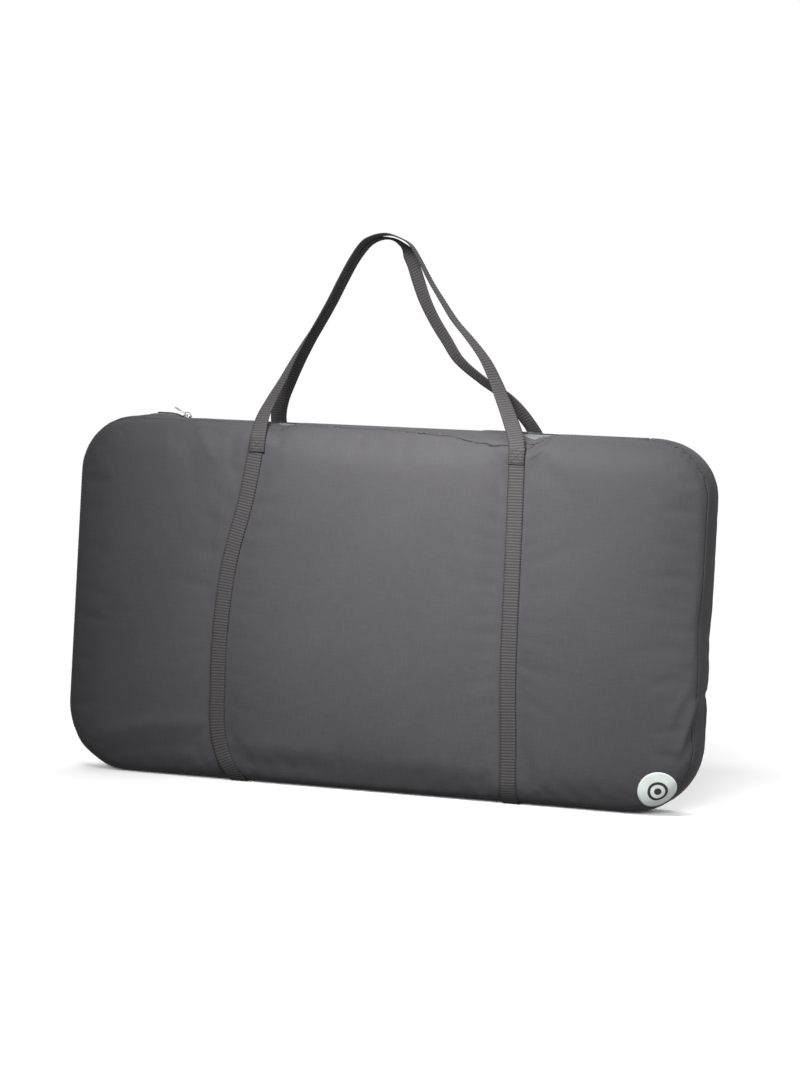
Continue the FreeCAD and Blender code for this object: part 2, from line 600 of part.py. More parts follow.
def knee(name, side, lower_up, upper_up):
    """A knee lock: a moulded block with a socket for each half post, crossed by their pins."""
    body = doc.addObject("PartDesign::Body", f"{name}_blank")
    box = body.newObject("PartDesign::AdditiveBox", f"{name}_block")
    skin = "(sizes.post_tube / 2 + sizes.play + sizes.bracket_wall)"
    low = f"(({lower_up} + {upper_up}) / 2 - {POST_STEP} / 2 - {skin})"
    bind(box, Length="sizes.knee_length", Width=f"2 * {skin}", Height=f"{POST_STEP} + 2 * {skin}")
    place(box, f"{side} * {KNEE} - sizes.knee_length / 2", f"{POST_BACK} - {skin}", low)
    round_edges(body, f"{name}_edges", "sizes.bracket_wall",
                lambda e: runs_along(e, Vector(1, 0, 0)))
    deep = "(sizes.knee_length / 2 + sizes.pin_size + sizes.play)"
    start = f"{KNEE} - sizes.pin_size - sizes.play"
    across = start if side > 0 else f"-({KNEE} + sizes.knee_length / 2)"
    drill = []
    for half, up in (("lower", lower_up), ("upper", upper_up)):
        drill.append(rod(f"{name}_socket_{half}", "sizes.post_tube / 2 + sizes.play", deep, across,
                         POST_BACK, up, "x"))
        drill.append(pin(f"{name}_hole_{half}", f"{side} * {KNEE}", up, "sizes.pin_play"))
    return cut(f"{name}_drilled", body, fuse(f"{name}_drill", *drill))


def posts():
    """Four corner posts, each two halves, a knee lock, a fork on each frame, and the pins."""
    pins = []
    pin_length = "(sizes.post_tube + 2 * sizes.bracket_wall + 2 * sizes.play)"
    for hand, side in (("left", -1), ("right", 1)):
        for level, rail_up, way in (("lower", LOW, 1), ("upper", HIGH, -1)):
            corner = f"{hand}_{level}"
            base_up = f"({rail_up} + {way} * {POST_OFF})"
            top_up = f"({rail_up} + {way} * ({POST_OFF} + {POST_STEP}))"
            node(half_post(f"{corner}_base_post", side, base_up), f"post_base_half_{corner}")
            node(half_post(f"{corner}_rail_post", side, top_up), f"post_rail_half_{corner}")
            node(knee(f"{corner}_knee", side, base_up, top_up), f"knee_lock_{corner}")
            node(fork(f"{corner}_base_fork", side, "base_tube", BASE_BACK, rail_up, base_up),
                 f"base_fork_{corner}")
            node(fork(f"{corner}_rail_fork", side, "rail_tube", RAIL_BACK, rail_up, top_up),
                 f"rail_fork_{corner}")
            for half, up in (("base", base_up), ("rail", top_up)):
                for end, at in (("pivot", PIVOT), ("knee", KNEE)):
                    pins.append(pin(f"{corner}_{half}_{end}_pin", f"{side} * {at}", up,
                                    length=pin_length))
    node(group("hinge_pin_set", *pins), "post_hinge_pins")


def flat_pad(name, inset, front, thick, corner, rounding=None):
    """A rounded rectangular pad inside the pack's outline, with its front face at a depth."""
    body = doc.addObject("PartDesign::Body", name)
    pad = body.newObject("PartDesign::AdditiveBox", name + "_block")
    bind(pad, Length=f"2 * ({REACH} - ({inset}))", Width=thick,
         Height=f"{HIGH} - {LOW} + sizes.rail_tube - 2 * ({inset})")
    place(pad, f"({inset}) - {REACH}", front, f"{LOW} - sizes.rail_tube / 2 + ({inset})")
    round_edges(body, name + "_corners", corner, lambda e: runs_along(e, Y_AXIS))
    if rounding:
        middle = body.Shape.BoundBox.Center.y
        reach = body.Shape.BoundBox.YLength / 2 - 0.5
        round_edges(body, name + "_edges", rounding,
                    lambda e: abs(e.CenterOfMass.y - middle) > reach)
    return body


def soft_goods():
    """The mattress on its board, the folded mesh walls and the floor sheet."""
    node(flat_pad("mattress_body", "sizes.mattress_inset", MATTRESS_FRONT,
                  f"{BOARD_FRONT} - {MATTRESS_FRONT}", "sizes.pack_corner",
                  "sizes.mattress_round"), "mattress")
    node(flat_pad("board_body", "sizes.board_inset", BOARD_FRONT, "sizes.board_thick",
                  "sizes.pack_corner"), "mattress_board")
    pile_back = f"({BASE_BACK} - sizes.wall_sag)"
    outside = flat_pad("walls_outside", "sizes.wall_inset", PACK_FRONT,
                       f"{pile_back} - {PACK_FRONT}", "sizes.pack_corner / 2")
    inside = flat_pad("walls_inside", "sizes.wall_inset + sizes.wall_pile",
                      "-sizes.bag_depth / 2", "sizes.bag_depth", "sizes.pack_corner / 3")
    node(cut("walls_cut", outside, inside), "mesh_walls_folded")
    sheet = flat_pad("sheet_body", "sizes.sheet_inset", SHEET_FRONT, "sizes.sheet_thick",
                     "sizes.pack_corner")
    notches = [rod(f"{name}_notch", "sizes.foot_size / 2 + sizes.play", "sizes.foot_size", across,
                   BASE_BACK, up, "y") for name, across, up in foot_places()]
    node(cut("sheet_notched", sheet, fuse("sheet_notches", *notches)), "floor_sheet")


def foot_places():
    """The name and the place across and up of each of the four feet."""
    for hand, side in (("left", -1), ("right", 1)):
        for level, up in (("lower", f"({LOW} + sizes.foot_inset)"),
                          ("upper", f"({HIGH} - sizes.foot_inset)")):
            yield f"foot_{hand}_{level}", f"{side} * ({REACH} - sizes.base_tube / 2)", up


def feet():
    """Four rubber feet, saddled on the end tubes of the base frame."""
    pads = []
    for name, across, up in foot_places():
        stub = rod(f"{name}_stub", "sizes.foot_size / 2", "sizes.foot_high + sizes.base_tube / 4",
                   across, f"{BASE_BACK} + sizes.base_tube / 4", up, "y")
        saddle = rod(f"{name}_saddle", "sizes.base_tube / 2 + sizes.pin_play",
                     "2 * sizes.foot_size", across, BASE_BACK, f"{up} - sizes.foot_size")
        pads.append(cut(f"{name}_cut", stub, saddle))
    node(group("feet_set", *pads), "frame_feet")


panels()
zip_fastener()
zip_slider()
zip_pull()
for hand in ("left", "right"):
    strap(hand)
handle_ends()
handle("front", -1)
handle("back", 1)
patch()
frames()
posts()
soft_goods()
feet()
doc.recompute()

for thing in doc.Objects:
    if "Invalid" in thing.State or "Error" in thing.State:
        raise SystemExit(f"{thing.Name} failed: {thing.State}")
os.makedirs("parts", exist_ok=True)
for thing in NODES:
    shape = thing.Shape
    if shape.isNull() or not shape.isValid() or not shape.Solids:
        raise SystemExit(f"{thing.Label} has no valid solid")
    shape.exportStep(os.path.join("parts", thing.Label + ".step"))
    box = shape.BoundBox
    print(f"{thing.Label:30s} solids {len(shape.Solids)}  volume {shape.Volume:11.1f}  "
          f"x {box.XMin:7.1f} {box.XMax:7.1f}  y {box.YMin:6.1f} {box.YMax:6.1f}  "
          f"z {box.ZMin:6.1f} {box.ZMax:6.1f}")
print(len(NODES), "nodes")
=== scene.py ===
"""A folded travel playpen in its zipped carry bag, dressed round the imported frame."""

import logging
import math
from bisect import bisect_right
from dataclasses import dataclass, field
from enum import Enum
from typing import Callable, Iterable, Sequence

import bmesh
import bpy
from mathutils import Matrix, Vector
from mathutils.bvhtree import BVHTree


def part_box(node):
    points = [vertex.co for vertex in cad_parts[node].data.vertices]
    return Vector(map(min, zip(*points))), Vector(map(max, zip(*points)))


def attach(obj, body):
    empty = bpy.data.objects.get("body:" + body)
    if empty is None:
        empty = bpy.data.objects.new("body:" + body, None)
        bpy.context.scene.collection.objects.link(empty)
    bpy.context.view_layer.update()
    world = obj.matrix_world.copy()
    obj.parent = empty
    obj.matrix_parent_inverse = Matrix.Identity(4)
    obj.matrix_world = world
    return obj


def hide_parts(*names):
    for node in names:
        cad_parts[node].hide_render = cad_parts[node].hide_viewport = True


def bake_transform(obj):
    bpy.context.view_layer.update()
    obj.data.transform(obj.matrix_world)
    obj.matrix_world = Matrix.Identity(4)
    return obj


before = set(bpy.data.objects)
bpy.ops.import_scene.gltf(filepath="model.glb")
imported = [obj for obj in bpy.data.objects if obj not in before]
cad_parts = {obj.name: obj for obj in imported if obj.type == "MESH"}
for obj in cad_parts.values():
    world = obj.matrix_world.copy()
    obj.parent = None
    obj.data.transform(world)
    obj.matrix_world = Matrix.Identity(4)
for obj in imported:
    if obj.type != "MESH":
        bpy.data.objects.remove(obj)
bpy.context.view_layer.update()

LOG = logging.getLogger("playpen")
BAG = "packed_bag"
WEBBING_WIDTH = 0.025
WEBBING_THICK = 0.002
RIB_STEP = 0.0022

Colour = tuple[float, float, float]


class Side(Enum):
    """The two faces of the bag."""

    FRONT = -1
    BACK = 1

    @property
    def word(self) -> str:
        """The side's name in the frame."""
        return self.name.lower()


# ---------------------------------------------------------------- shader expressions


class Wire:
    """A socket that carries a number; its arithmetic adds Math nodes."""

    def __init__(self, graph: "Graph", socket: bpy.types.NodeSocket) -> None:
        """Keeps the graph and the socket."""
        self.graph = graph
        self.socket = socket

    def _math(self, operation: str, *values: "Wire | float") -> "Wire":
        """One Math node on these values."""
        return self.graph.add("ShaderNodeMath", {"operation": operation}, dict(enumerate(values)))

    def __add__(self, other: "Wire | float") -> "Wire":
        """Sum."""
        return self._math("ADD", self, other)

    def __radd__(self, other: float) -> "Wire":
        """Reflected sum."""
        return self._math("ADD", other, self)

    def __sub__(self, other: "Wire | float") -> "Wire":
        """Difference."""
        return self._math("SUBTRACT", self, other)

    def __rsub__(self, other: float) -> "Wire":
        """Reflected difference."""
        return self._math("SUBTRACT", other, self)

    def __mul__(self, other: "Wire | float") -> "Wire":
        """Product."""
        return self._math("MULTIPLY", self, other)

    def __rmul__(self, other: float) -> "Wire":
        """Reflected product."""
        return self._math("MULTIPLY", other, self)

    def __truediv__(self, other: "Wire | float") -> "Wire":
        """Quotient."""
        return self._math("DIVIDE", self, other)

    def power(self, exponent: float) -> "Wire":
        """A power."""
        return self._math("POWER", self, exponent)

    def sine(self) -> "Wire":
        """The sine."""
        return self._math("SINE", self)

    def size(self) -> "Wire":
        """The value without its sign."""
        return self._math("ABSOLUTE", self)

    def at_least(self, other: "Wire | float") -> "Wire":
        """The larger of the two."""
        return self._math("MAXIMUM", self, other)

    def between(self, low: float, high: float) -> "Wire":
        """0 below low, 1 above high and a smooth step between them."""
        return self.graph.add("ShaderNodeMapRange", {"interpolation_type": "SMOOTHSTEP"},
                              {"Value": self, "From Min": low, "From Max": high})


class Graph:
    """The node tree of one material."""

    def __init__(self, name: str) -> None:
        """Starts an empty material.

        Args:
            name: the material's name.
        """
        self.material = bpy.data.materials.new(name)
        self.material.use_nodes = True
        self.tree = self.material.node_tree
        self.tree.nodes.clear()

    def add(self, kind: str, settings: dict | None = None, inputs: dict | None = None,
            output: int | str = 0) -> Wire:
        """Adds a node.

        Args:
            kind: the node's type.
            settings: its own properties, set before its sockets.
            inputs: values or wires for its sockets, by name or number.
            output: which of its outputs is wanted.

        Returns:
            The output, as a wire.
        """
        made = self.tree.nodes.new(kind)
        for name, value in (settings or {}).items():
            setattr(made, name, value)
        for key, value in (inputs or {}).items():
            if isinstance(value, Wire):
                self.tree.links.new(value.socket, made.inputs[key])
            else:
                made.inputs[key].default_value = value
        return Wire(self, made.outputs[output])

    def place(self) -> tuple[Wire, Wire, Wire]:
        """The point's own x, y and z, in metres.

        Returns:
            The three coordinates.
        """
        spot = self.add("ShaderNodeTexCoord", output="Object")
        return tuple(self.add("ShaderNodeSeparateXYZ", inputs={0: spot}, output=i)
                     for i in range(3))

    def held(self, name: str) -> Wire:
        """A number that the mesh carries at each point."""
        return self.add("ShaderNodeAttribute", {"attribute_name": name}, output="Fac")

    def noise(self, x: Wire, y: Wire, z: Wire | float = 0.0, detail: float = 2.0) -> Wire:
        """Noise about 0.5, one unit of x, y and z to a lump.

        Args:
            x: the first coordinate.
            y: the second coordinate.
            z: the third coordinate.
            detail: how many finer layers it has.

        Returns:
            The noise.
        """
        spot = self.add("ShaderNodeCombineXYZ", inputs={0: x, 1: y, 2: z})
        return self.add("ShaderNodeTexNoise", inputs={
            "Vector": spot, "Scale": 1.0, "Detail": detail, "Roughness": 0.55})

    def blend(self, share: Wire | float, low: Colour, high: Colour) -> Wire:
        """One colour turning into another as share goes from 0 to 1."""
        return self.add("ShaderNodeMix", {"data_type": "RGBA"}, {
            0: share, 6: (*low, 1.0), 7: (*high, 1.0)}, output=2)

    def over(self, share: Wire, under: Wire, high: Colour) -> Wire:
        """A colour laid over another where share is 1."""
        return self.add("ShaderNodeMix", {"data_type": "RGBA"}, {
            0: share, 6: under, 7: (*high, 1.0)}, output=2)

    def bump(self, height: Wire, depth: float, strength: float = 1.0) -> Wire:
        """A normal from a height between 0 and 1 and its depth in metres."""
        return self.add("ShaderNodeBump", inputs={
            "Height": height, "Distance": depth, "Strength": strength})

    def surface(self, **sockets: "Wire | float | Colour") -> bpy.types.Material:
        """Closes the graph with a Principled surface.

        Args:
            sockets: the shader's sockets, with _ for each space in their names.

        Returns:
            The finished material.
        """
        named = {key.replace("_", " "): value for key, value in sockets.items()}
        shader = self.add("ShaderNodeBsdfPrincipled", inputs=named)
        self.add_output(shader)
        return self.material

    def add_output(self, shader: Wire) -> None:
        """Links the shader to the material's output."""
        end = self.tree.nodes.new("ShaderNodeOutputMaterial")
        self.tree.links.new(shader.socket, end.inputs["Surface"])


# ---------------------------------------------------------------- finishes


@dataclass(frozen=True)
class Finish:
    """What a surface is made of; each finish is made once."""

    name: str
    colour: Colour

    def dress(self, graph: Graph) -> bpy.types.Material:
        """Builds the nodes."""
        raise NotImplementedError

    def material(self) -> bpy.types.Material:
        """The finish as a material, made at its first use."""
        return bpy.data.materials.get(self.name) or self.dress(Graph(self.name))

    def shaded(self, factor: float) -> Colour:
        """The colour, darker or lighter."""
        return tuple(min(1.0, channel * factor) for channel in self.colour)


class Face(Enum):
    """Which two of a piece's own numbers a woven pattern follows."""

    FLAT = "flat"
    ROUND = "round"
    SECTION = "section"


@dataclass(frozen=True)
class WovenCloth(Finish):
    """Plain woven polyester with a soft sheen, uneven yarns and faint rubbed patches."""

    yarn: float = 0.0011
    roughness: float = 0.66
    sheen: float = 0.05
    slub: float = 0.16
    depth: float = 0.00012
    face: Face = Face.FLAT

    def threads(self, graph: Graph) -> tuple[Wire, Wire]:
        """The two directions of the weave.

        Args:
            graph: the material being made.

        Returns:
            A coordinate along each direction.
        """
        if self.face is Face.SECTION:
            return graph.held("along"), graph.held("across")
        x, y, z = graph.place()
        return (x, z) if self.face is Face.FLAT else (x + z, y)

    def dress(self, graph: Graph) -> bpy.types.Material:
        """Weave, slubs and a slow change of tone.

        Args:
            graph: the material being made.

        Returns:
            The material.
        """
        u, v = self.threads(graph)
        turn = math.pi / self.yarn
        weave = 0.5 + 0.5 * ((u * turn).sine() * (v * turn).sine())
        weft = graph.noise(u * 42.0, v * 760.0, 3.0, 1.0)
        warp = graph.noise(u * 760.0, v * 42.0, 9.0, 1.0)
        slub = (weft + warp) * 0.5
        cloud = graph.noise(u * 7.0, v * 7.0, 5.0, 3.0)
        tone = (0.5 + (slub - 0.5) * (self.slub * 9.0) + (cloud - 0.5) * 0.5
                + (weave - 0.5) * 0.22)
        return graph.surface(
            Base_Color=graph.blend(tone, self.shaded(0.78), self.shaded(1.22)),
            Roughness=self.roughness + (slub - 0.5) * 0.35 + (weave - 0.5) * 0.06,
            Normal=graph.bump(weave * 0.6 + slub * 0.9, self.depth, 0.8),
            Specular_IOR_Level=0.18, Sheen_Weight=self.sheen, Sheen_Roughness=0.45)


@dataclass(frozen=True)
class RibbedWebbing(Finish):
    """Flat woven webbing: cross ribs, fine lengthwise yarns and painted shade along its edges."""

    width: float = WEBBING_WIDTH
    rib: float = 2 * RIB_STEP

    def dress(self, graph: Graph) -> bpy.types.Material:
        """Ribs, yarns, a little wear, and painted shade darkening both edges.

        Args:
            graph: the material being made.

        Returns:
            The material.
        """
        along, across = graph.held("along"), graph.held("across")
        rib = 0.5 + 0.5 * (along * (2 * math.pi / self.rib) - math.pi / 2).sine()
        yarn = 0.5 + 0.5 * (across * (2 * math.pi / 0.0016)).sine()
        # painted shade: both edges darkened, standing in for the shadow line where the strap's edge
        # meets the cloth
        edge = (across.size()).between(self.width * 0.40, self.width * 0.47)
        worn = graph.noise(along * 60.0, across * 260.0, 1.0, 3.0)
        fuzz = graph.noise(along * 900.0, across * 2600.0, 2.0, 1.0)
        tone = rib * 0.62 + yarn * 0.14 + worn * 0.26 + fuzz * 0.26 - edge * 0.34 - 0.08
        return graph.surface(
            Base_Color=graph.blend(tone, self.shaded(0.42), self.shaded(1.5)),
            Roughness=0.66 + (worn - 0.5) * 0.2,
            Normal=graph.bump(rib * 0.7 + yarn * 0.2 + fuzz * 0.2, 0.0004, 1.0),
            Specular_IOR_Level=0.2, Sheen_Weight=0.06, Sheen_Roughness=0.45)


@dataclass(frozen=True)
class Twisted(Finish):
    """Sewing thread, in plies that wind round it."""

    def dress(self, graph: Graph) -> bpy.types.Material:
        """Slanted plies.

        Args:
            graph: the material being made.

        Returns:
            The material.
        """
        x, y, z = graph.place()
        ply = 0.5 + 0.5 * ((x + y * 0.7 + z) * 9000.0).sine()
        return graph.surface(
            Base_Color=graph.blend(ply, self.shaded(0.7), self.shaded(1.25)),
            Roughness=0.55 + ply * 0.1, Normal=graph.bump(ply, 0.00005, 0.6),
            Sheen_Weight=0.15)


@dataclass(frozen=True)
class Metal(Finish):
    """Metal, polished or drawn, with fine scratches and dulled patches."""

    roughness: float = 0.26
    metallic: float = 1.0
    grain: float = 1400.0

    def dress(self, graph: Graph) -> bpy.types.Material:
        """Scratches along x, patches everywhere.

        Args:
            graph: the material being made.

        Returns:
            The material.
        """
        x, y, z = graph.place()
        line = graph.noise(x * 30.0, y * self.grain, z * self.grain, 2.0)
        patch = graph.noise(x * 60.0, y * 60.0, z * 60.0, 3.0)
        return graph.surface(
            Base_Color=graph.blend(patch, self.shaded(0.82), self.shaded(1.1)),
            Metallic=self.metallic,
            Roughness=self.roughness + (line - 0.5) * 0.22 + (patch - 0.5) * 0.16,
            Normal=graph.bump(line, 0.00003, 0.5))


@dataclass(frozen=True)
class PowderCoat(Finish):
    """Painted steel tube with a fine orange-peel skin."""

    def dress(self, graph: Graph) -> bpy.types.Material:
        """Orange peel and a faint scuffing.

        Args:
            graph: the material being made.

        Returns:
            The material.
        """
        x, y, z = graph.place()
        peel = graph.noise(x * 900.0, y * 900.0, z * 900.0, 1.0)
        scuff = graph.noise(x * 45.0, y * 160.0, z * 45.0, 4.0)
        return graph.surface(
            Base_Color=graph.blend(scuff, self.shaded(0.9), self.shaded(1.08)),
            Roughness=0.36 + (scuff - 0.5) * 0.3, Coat_Weight=0.25 + scuff * 0.1,
            Normal=graph.bump(peel, 0.00006, 0.6))


@dataclass(frozen=True)
class Moulded(Finish):
    """Moulded plastic or rubber with a spark-eroded texture."""

    roughness: float = 0.5
    texture: float = 1100.0

    def dress(self, graph: Graph) -> bpy.types.Material:
        """Texture and slow change of tone.

        Args:
            graph: the material being made.

        Returns:
            The material.
        """
        x, y, z = graph.place()
        spark = graph.noise(x * self.texture, y * self.texture, z * self.texture, 2.0)
        flow = graph.noise(x * 25.0, y * 25.0, z * 25.0, 2.0)
        return graph.surface(
            Base_Color=graph.blend(flow, self.shaded(0.88), self.shaded(1.12)),
            Roughness=self.roughness + (spark - 0.5) * 0.2,
            Normal=graph.bump(spark, 0.00008, 0.7))


@dataclass(frozen=True)
class Hardboard(Finish):
    """Pressed fibre board."""

    def dress(self, graph: Graph) -> bpy.types.Material:
        """Fibres in every direction.

        Args:
            graph: the material being made.

        Returns:
            The material.
        """
        x, y, z = graph.place()
        fibre = graph.noise(x * 300.0, y * 300.0, z * 900.0, 4.0)
        fleck = graph.noise(x * 1600.0, y * 400.0, z * 400.0, 3.0)
        return graph.surface(
            Base_Color=graph.blend(fibre, self.shaded(0.72), self.shaded(1.25)),
            Roughness=0.62 + (fleck - 0.5) * 0.3, Normal=graph.bump(fleck, 0.0001, 0.6))


@dataclass(frozen=True)
class OpenMesh(Finish):
    """Knitted netting with open round cells."""

    cell: float = 0.0032

    def dress(self, graph: Graph) -> bpy.types.Material:
        """Cells in staggered rows, cut away where they are open.

        Args:
            graph: the material being made.

        Returns:
            The material.
        """
        along, across = graph.held("along"), graph.held("across")
        turn = math.pi / self.cell
        ripple = (along * turn).sine() * (across * turn).sine()
        web = 1.0 - ripple.size().between(0.32, 0.5)
        return graph.surface(
            Base_Color=graph.blend(web, self.shaded(0.7), self.shaded(1.1)),
            Alpha=0.12 + web * 0.88, Roughness=0.6 + web * 0.1,
            Normal=graph.bump(web, 0.0002, 0.7))


@dataclass(frozen=True)
class PatchRubber(Finish):
    """A soft moulded badge: a pale disc with a plain raised ring and dots."""

    mark: Colour = (0.045, 0.046, 0.048)
    radius: float = 0.030

    def dress(self, graph: Graph) -> bpy.types.Material:
        """The plain mark follows the badge's own two directions.

        Args:
            graph: the material being made.

        Returns:
            The material.
        """
        along, across = graph.held("along"), graph.held("across")
        reach = (along.power(2.0) + across.power(2.0)).power(0.5)
        ring = 1.0 - (reach - self.radius * 0.44).size().between(0.0018, 0.0024)
        dot = 1.0 - reach.between(0.0052, 0.0058)
        mark = ring.at_least(dot)
        grain = graph.noise(along * 900.0, across * 900.0, 0.0, 2.0)
        soil = graph.noise(along * 50.0, across * 50.0, 4.0, 3.0)
        return graph.surface(
            Base_Color=graph.over(mark, graph.blend(soil, self.shaded(0.86), self.shaded(1.1)),
                                  self.mark),
            Roughness=0.5 + (grain - 0.5) * 0.2 - mark * 0.05,
            Normal=graph.bump(mark * 0.8 + grain * 0.1, 0.0006, 0.8),
            Specular_IOR_Level=0.4)


@dataclass(frozen=True)
class Studio(Finish):
    """The pale floor."""

    def dress(self, graph: Graph) -> bpy.types.Material:
        """A plain matt surface with the faintest mottling.

        Args:
            graph: the material being made.

        Returns:
            The material.
        """
        x, y, _ = graph.place()
        mottle = graph.noise(x * 3.0, y * 3.0, 0.0, 2.0)
        return graph.surface(
            Base_Color=graph.blend(mottle, self.shaded(0.99), self.shaded(1.0)),
            Roughness=0.9, Specular_IOR_Level=0.1)


CHARCOAL = (0.067, 0.065, 0.070)
SHELL_CLOTH = WovenCloth("charcoal_shell_cloth", CHARCOAL)
GUSSET_CLOTH = WovenCloth("charcoal_gusset_cloth", (0.066, 0.064, 0.068), face=Face.ROUND)
BINDING_TAPE = WovenCloth("seam_binding_tape", (0.030, 0.030, 0.033), yarn=0.0007,
                          face=Face.SECTION)
WELT_CLOTH = WovenCloth("seam_welt_cloth", (0.048, 0.046, 0.050), yarn=0.0009,
                        face=Face.SECTION)
ZIP_TAPE = WovenCloth("zip_tape_weave", (0.150, 0.156, 0.158), yarn=0.0006, face=Face.SECTION)
WEBBING = RibbedWebbing("warm_grey_webbing", (0.061, 0.058, 0.058))
THREAD = Twisted("dark_sewing_thread", (0.022, 0.021, 0.023))
TONAL_THREAD = Twisted("charcoal_seam_thread", (0.034, 0.033, 0.036))
COIL = Moulded("zip_coil_nylon", (0.045, 0.045, 0.048), roughness=0.38)
NICKEL = Metal("brushed_nickel", (0.52, 0.53, 0.54))
PATCH = PatchRubber("pale_badge_rubber", (0.84, 0.92, 0.88))
TUBE = PowderCoat("grey_powder_coat", (0.30, 0.31, 0.33))
JOINER = Moulded("dark_grey_nylon_joiner", (0.06, 0.06, 0.065), roughness=0.48)
MOULDING = Moulded("grey_nylon_moulding", (0.11, 0.11, 0.12))
PIN_STEEL = Metal("zinc_plated_steel", (0.62, 0.62, 0.60), roughness=0.34)
MATTRESS_CLOTH = WovenCloth("pale_mattress_cloth", (0.46, 0.46, 0.47), yarn=0.0013,
                            roughness=0.72, slub=0.1)
BOARD = Hardboard("brown_hardboard", (0.30, 0.20, 0.12))
NETTING = OpenMesh("grey_netting", (0.16, 0.16, 0.17))
SHEET_CLOTH = WovenCloth("floor_sheet_cloth", (0.10, 0.10, 0.11), yarn=0.0015, roughness=0.68)
FOOT_RUBBER = Moulded("black_foot_rubber", (0.025, 0.025, 0.027), roughness=0.72)
FLOOR = Studio("studio_floor", (0.92, 0.92, 0.92))


# ---------------------------------------------------------------- making pieces


@dataclass(frozen=True)
class Piece:
    """A shown piece: its name, finish, and what it stands for in the frame."""

    name: str
    finish: Finish
    slot: str
    stands_for: tuple[str, ...] = ()
    body: str | None = BAG

    def make(self, shape: bmesh.types.BMesh, smooth: bool = True) -> bpy.types.Object:
        """Turns a shape into a piece on its body.

        Args:
            shape: the shape, freed here.
            smooth: whether its faces shade smoothly.

        Returns:
            The piece's object.
        """
        mesh = bpy.data.meshes.new(self.name)
        shape.to_mesh(mesh)
        shape.free()
        mesh.polygons.foreach_set("use_smooth", [smooth] * len(mesh.polygons))
        mesh.materials.append(self.finish.material())
        made = bpy.data.objects.new(self.name, mesh)
        bpy.context.scene.collection.objects.link(made)
        if self.body:
            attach(made, self.body)
        if self.stands_for:
            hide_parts(*self.stands_for)
        LOG.info("%s: %d faces", self.name, len(mesh.polygons))
        return made


def thicken(made: bpy.types.Object, thickness: float, offset: float = -1.0) -> None:
    """Gives a piece of cloth its thickness, inwards for an offset of -1.

    Args:
        made: the piece.
        thickness: how thick it becomes.
        offset: which way the thickness goes.
    """
    wall = made.modifiers.new("thickness", "SOLIDIFY")
    wall.thickness = thickness
    wall.offset = offset
    wall.use_even_offset = False


def evaluated(made: bpy.types.Object) -> bpy.types.Mesh:
    """The object's mesh with its modifiers applied."""
    graph = bpy.context.evaluated_depsgraph_get()
    return bpy.data.meshes.new_from_object(made.evaluated_get(graph))


class SmoothLine:
    """A smooth line through a few points, measured along its chords."""

    def __init__(self, points: Iterable[Sequence[float]]) -> None:
        """Works out the chord lengths.

        Args:
            points: the points, in order.
        """
        self.points = [Vector(point) for point in points]
        self.knots = [0.0]
        for first, second in zip(self.points, self.points[1:]):
            self.knots.append(self.knots[-1] + (second - first).length)

    def slope(self, index: int) -> Vector:
        """The line's direction at one of its points."""
        low, high = max(index - 1, 0), min(index + 1, len(self.points) - 1)
        return (self.points[high] - self.points[low]) / (self.knots[high] - self.knots[low])

    def at(self, distance: float) -> Vector:
        """The point at a distance along the chords.

        Args:
            distance: how far along the chords.

        Returns:
            The point.
        """
        index = min(max(bisect_right(self.knots, distance) - 1, 0), len(self.knots) - 2)
        span = self.knots[index + 1] - self.knots[index]
        t = (distance - self.knots[index]) / span
        start, end = self.points[index], self.points[index + 1]
        pull, push = self.slope(index) * span, self.slope(index + 1) * span
        return (start * (2 * t ** 3 - 3 * t ** 2 + 1) + pull * (t ** 3 - 2 * t ** 2 + t)
                + end * (3 * t ** 2 - 2 * t ** 3) + push * (t ** 3 - t ** 2))

    def spread(self, step: float) -> list[Vector]:
        """Points about a step apart, from end to end."""
        count = max(2, round(self.knots[-1] / step) + 1)
        return [self.at(self.knots[-1] * i / (count - 1)) for i in range(count)]


def evenly(points: Sequence[Vector], step: float) -> list[Vector]:
    """Points an even step apart along straight runs between many near points.

    Args:
        points: the near points.
        step: the distance wanted between two points.

    Returns:
        The new points.
    """
    knots = [0.0]
    for first, second in zip(points, points[1:]):
        knots.append(knots[-1] + (second - first).length)
    count = max(2, round(knots[-1] / step) + 1)
    found, index = [], 0
    for i in range(count):
        want = knots[-1] * i / (count - 1)
        while index < len(knots) - 2 and knots[index + 1] < want:
            index += 1
        span = max(knots[index + 1] - knots[index], 1e-12)
        found.append(points[index].lerp(points[index + 1], (want - knots[index]) / span))
    return found


def station(spot: Vector, across: Vector, outward: Vector, along: Vector,
            wide: float = 1.0, thick: float = 1.0) -> Matrix:
    """The place of one cross-section: its own x is across, y is outward, z is along."""
    turn = Matrix((across * wide, outward * thick, along)).transposed()
    return Matrix.Translation(spot) @ turn.to_4x4()


def stations_along(points: Sequence[Vector], outward: Callable[[int, Vector], Vector],
                   rib: float = 0.0) -> list[Matrix]:
    """Cross-section places along a line.

    Args:
        points: the line's points.
        outward: gives the outward direction at a point, from its index and direction.
        rib: how much thicker every other section is, as a share.

    Returns:
        One matrix to each point.
    """
    found = []
    for i, point in enumerate(points):
        along = (points[min(i + 1, len(points) - 1)] - points[max(i - 1, 0)]).normalized()
        out = outward(i, along)
        out = (out - along * out.dot(along)).normalized()
        found.append(station(point, out.cross(along), out, along,
                             thick=1.0 + (rib if i % 2 else -rib)))
    return found


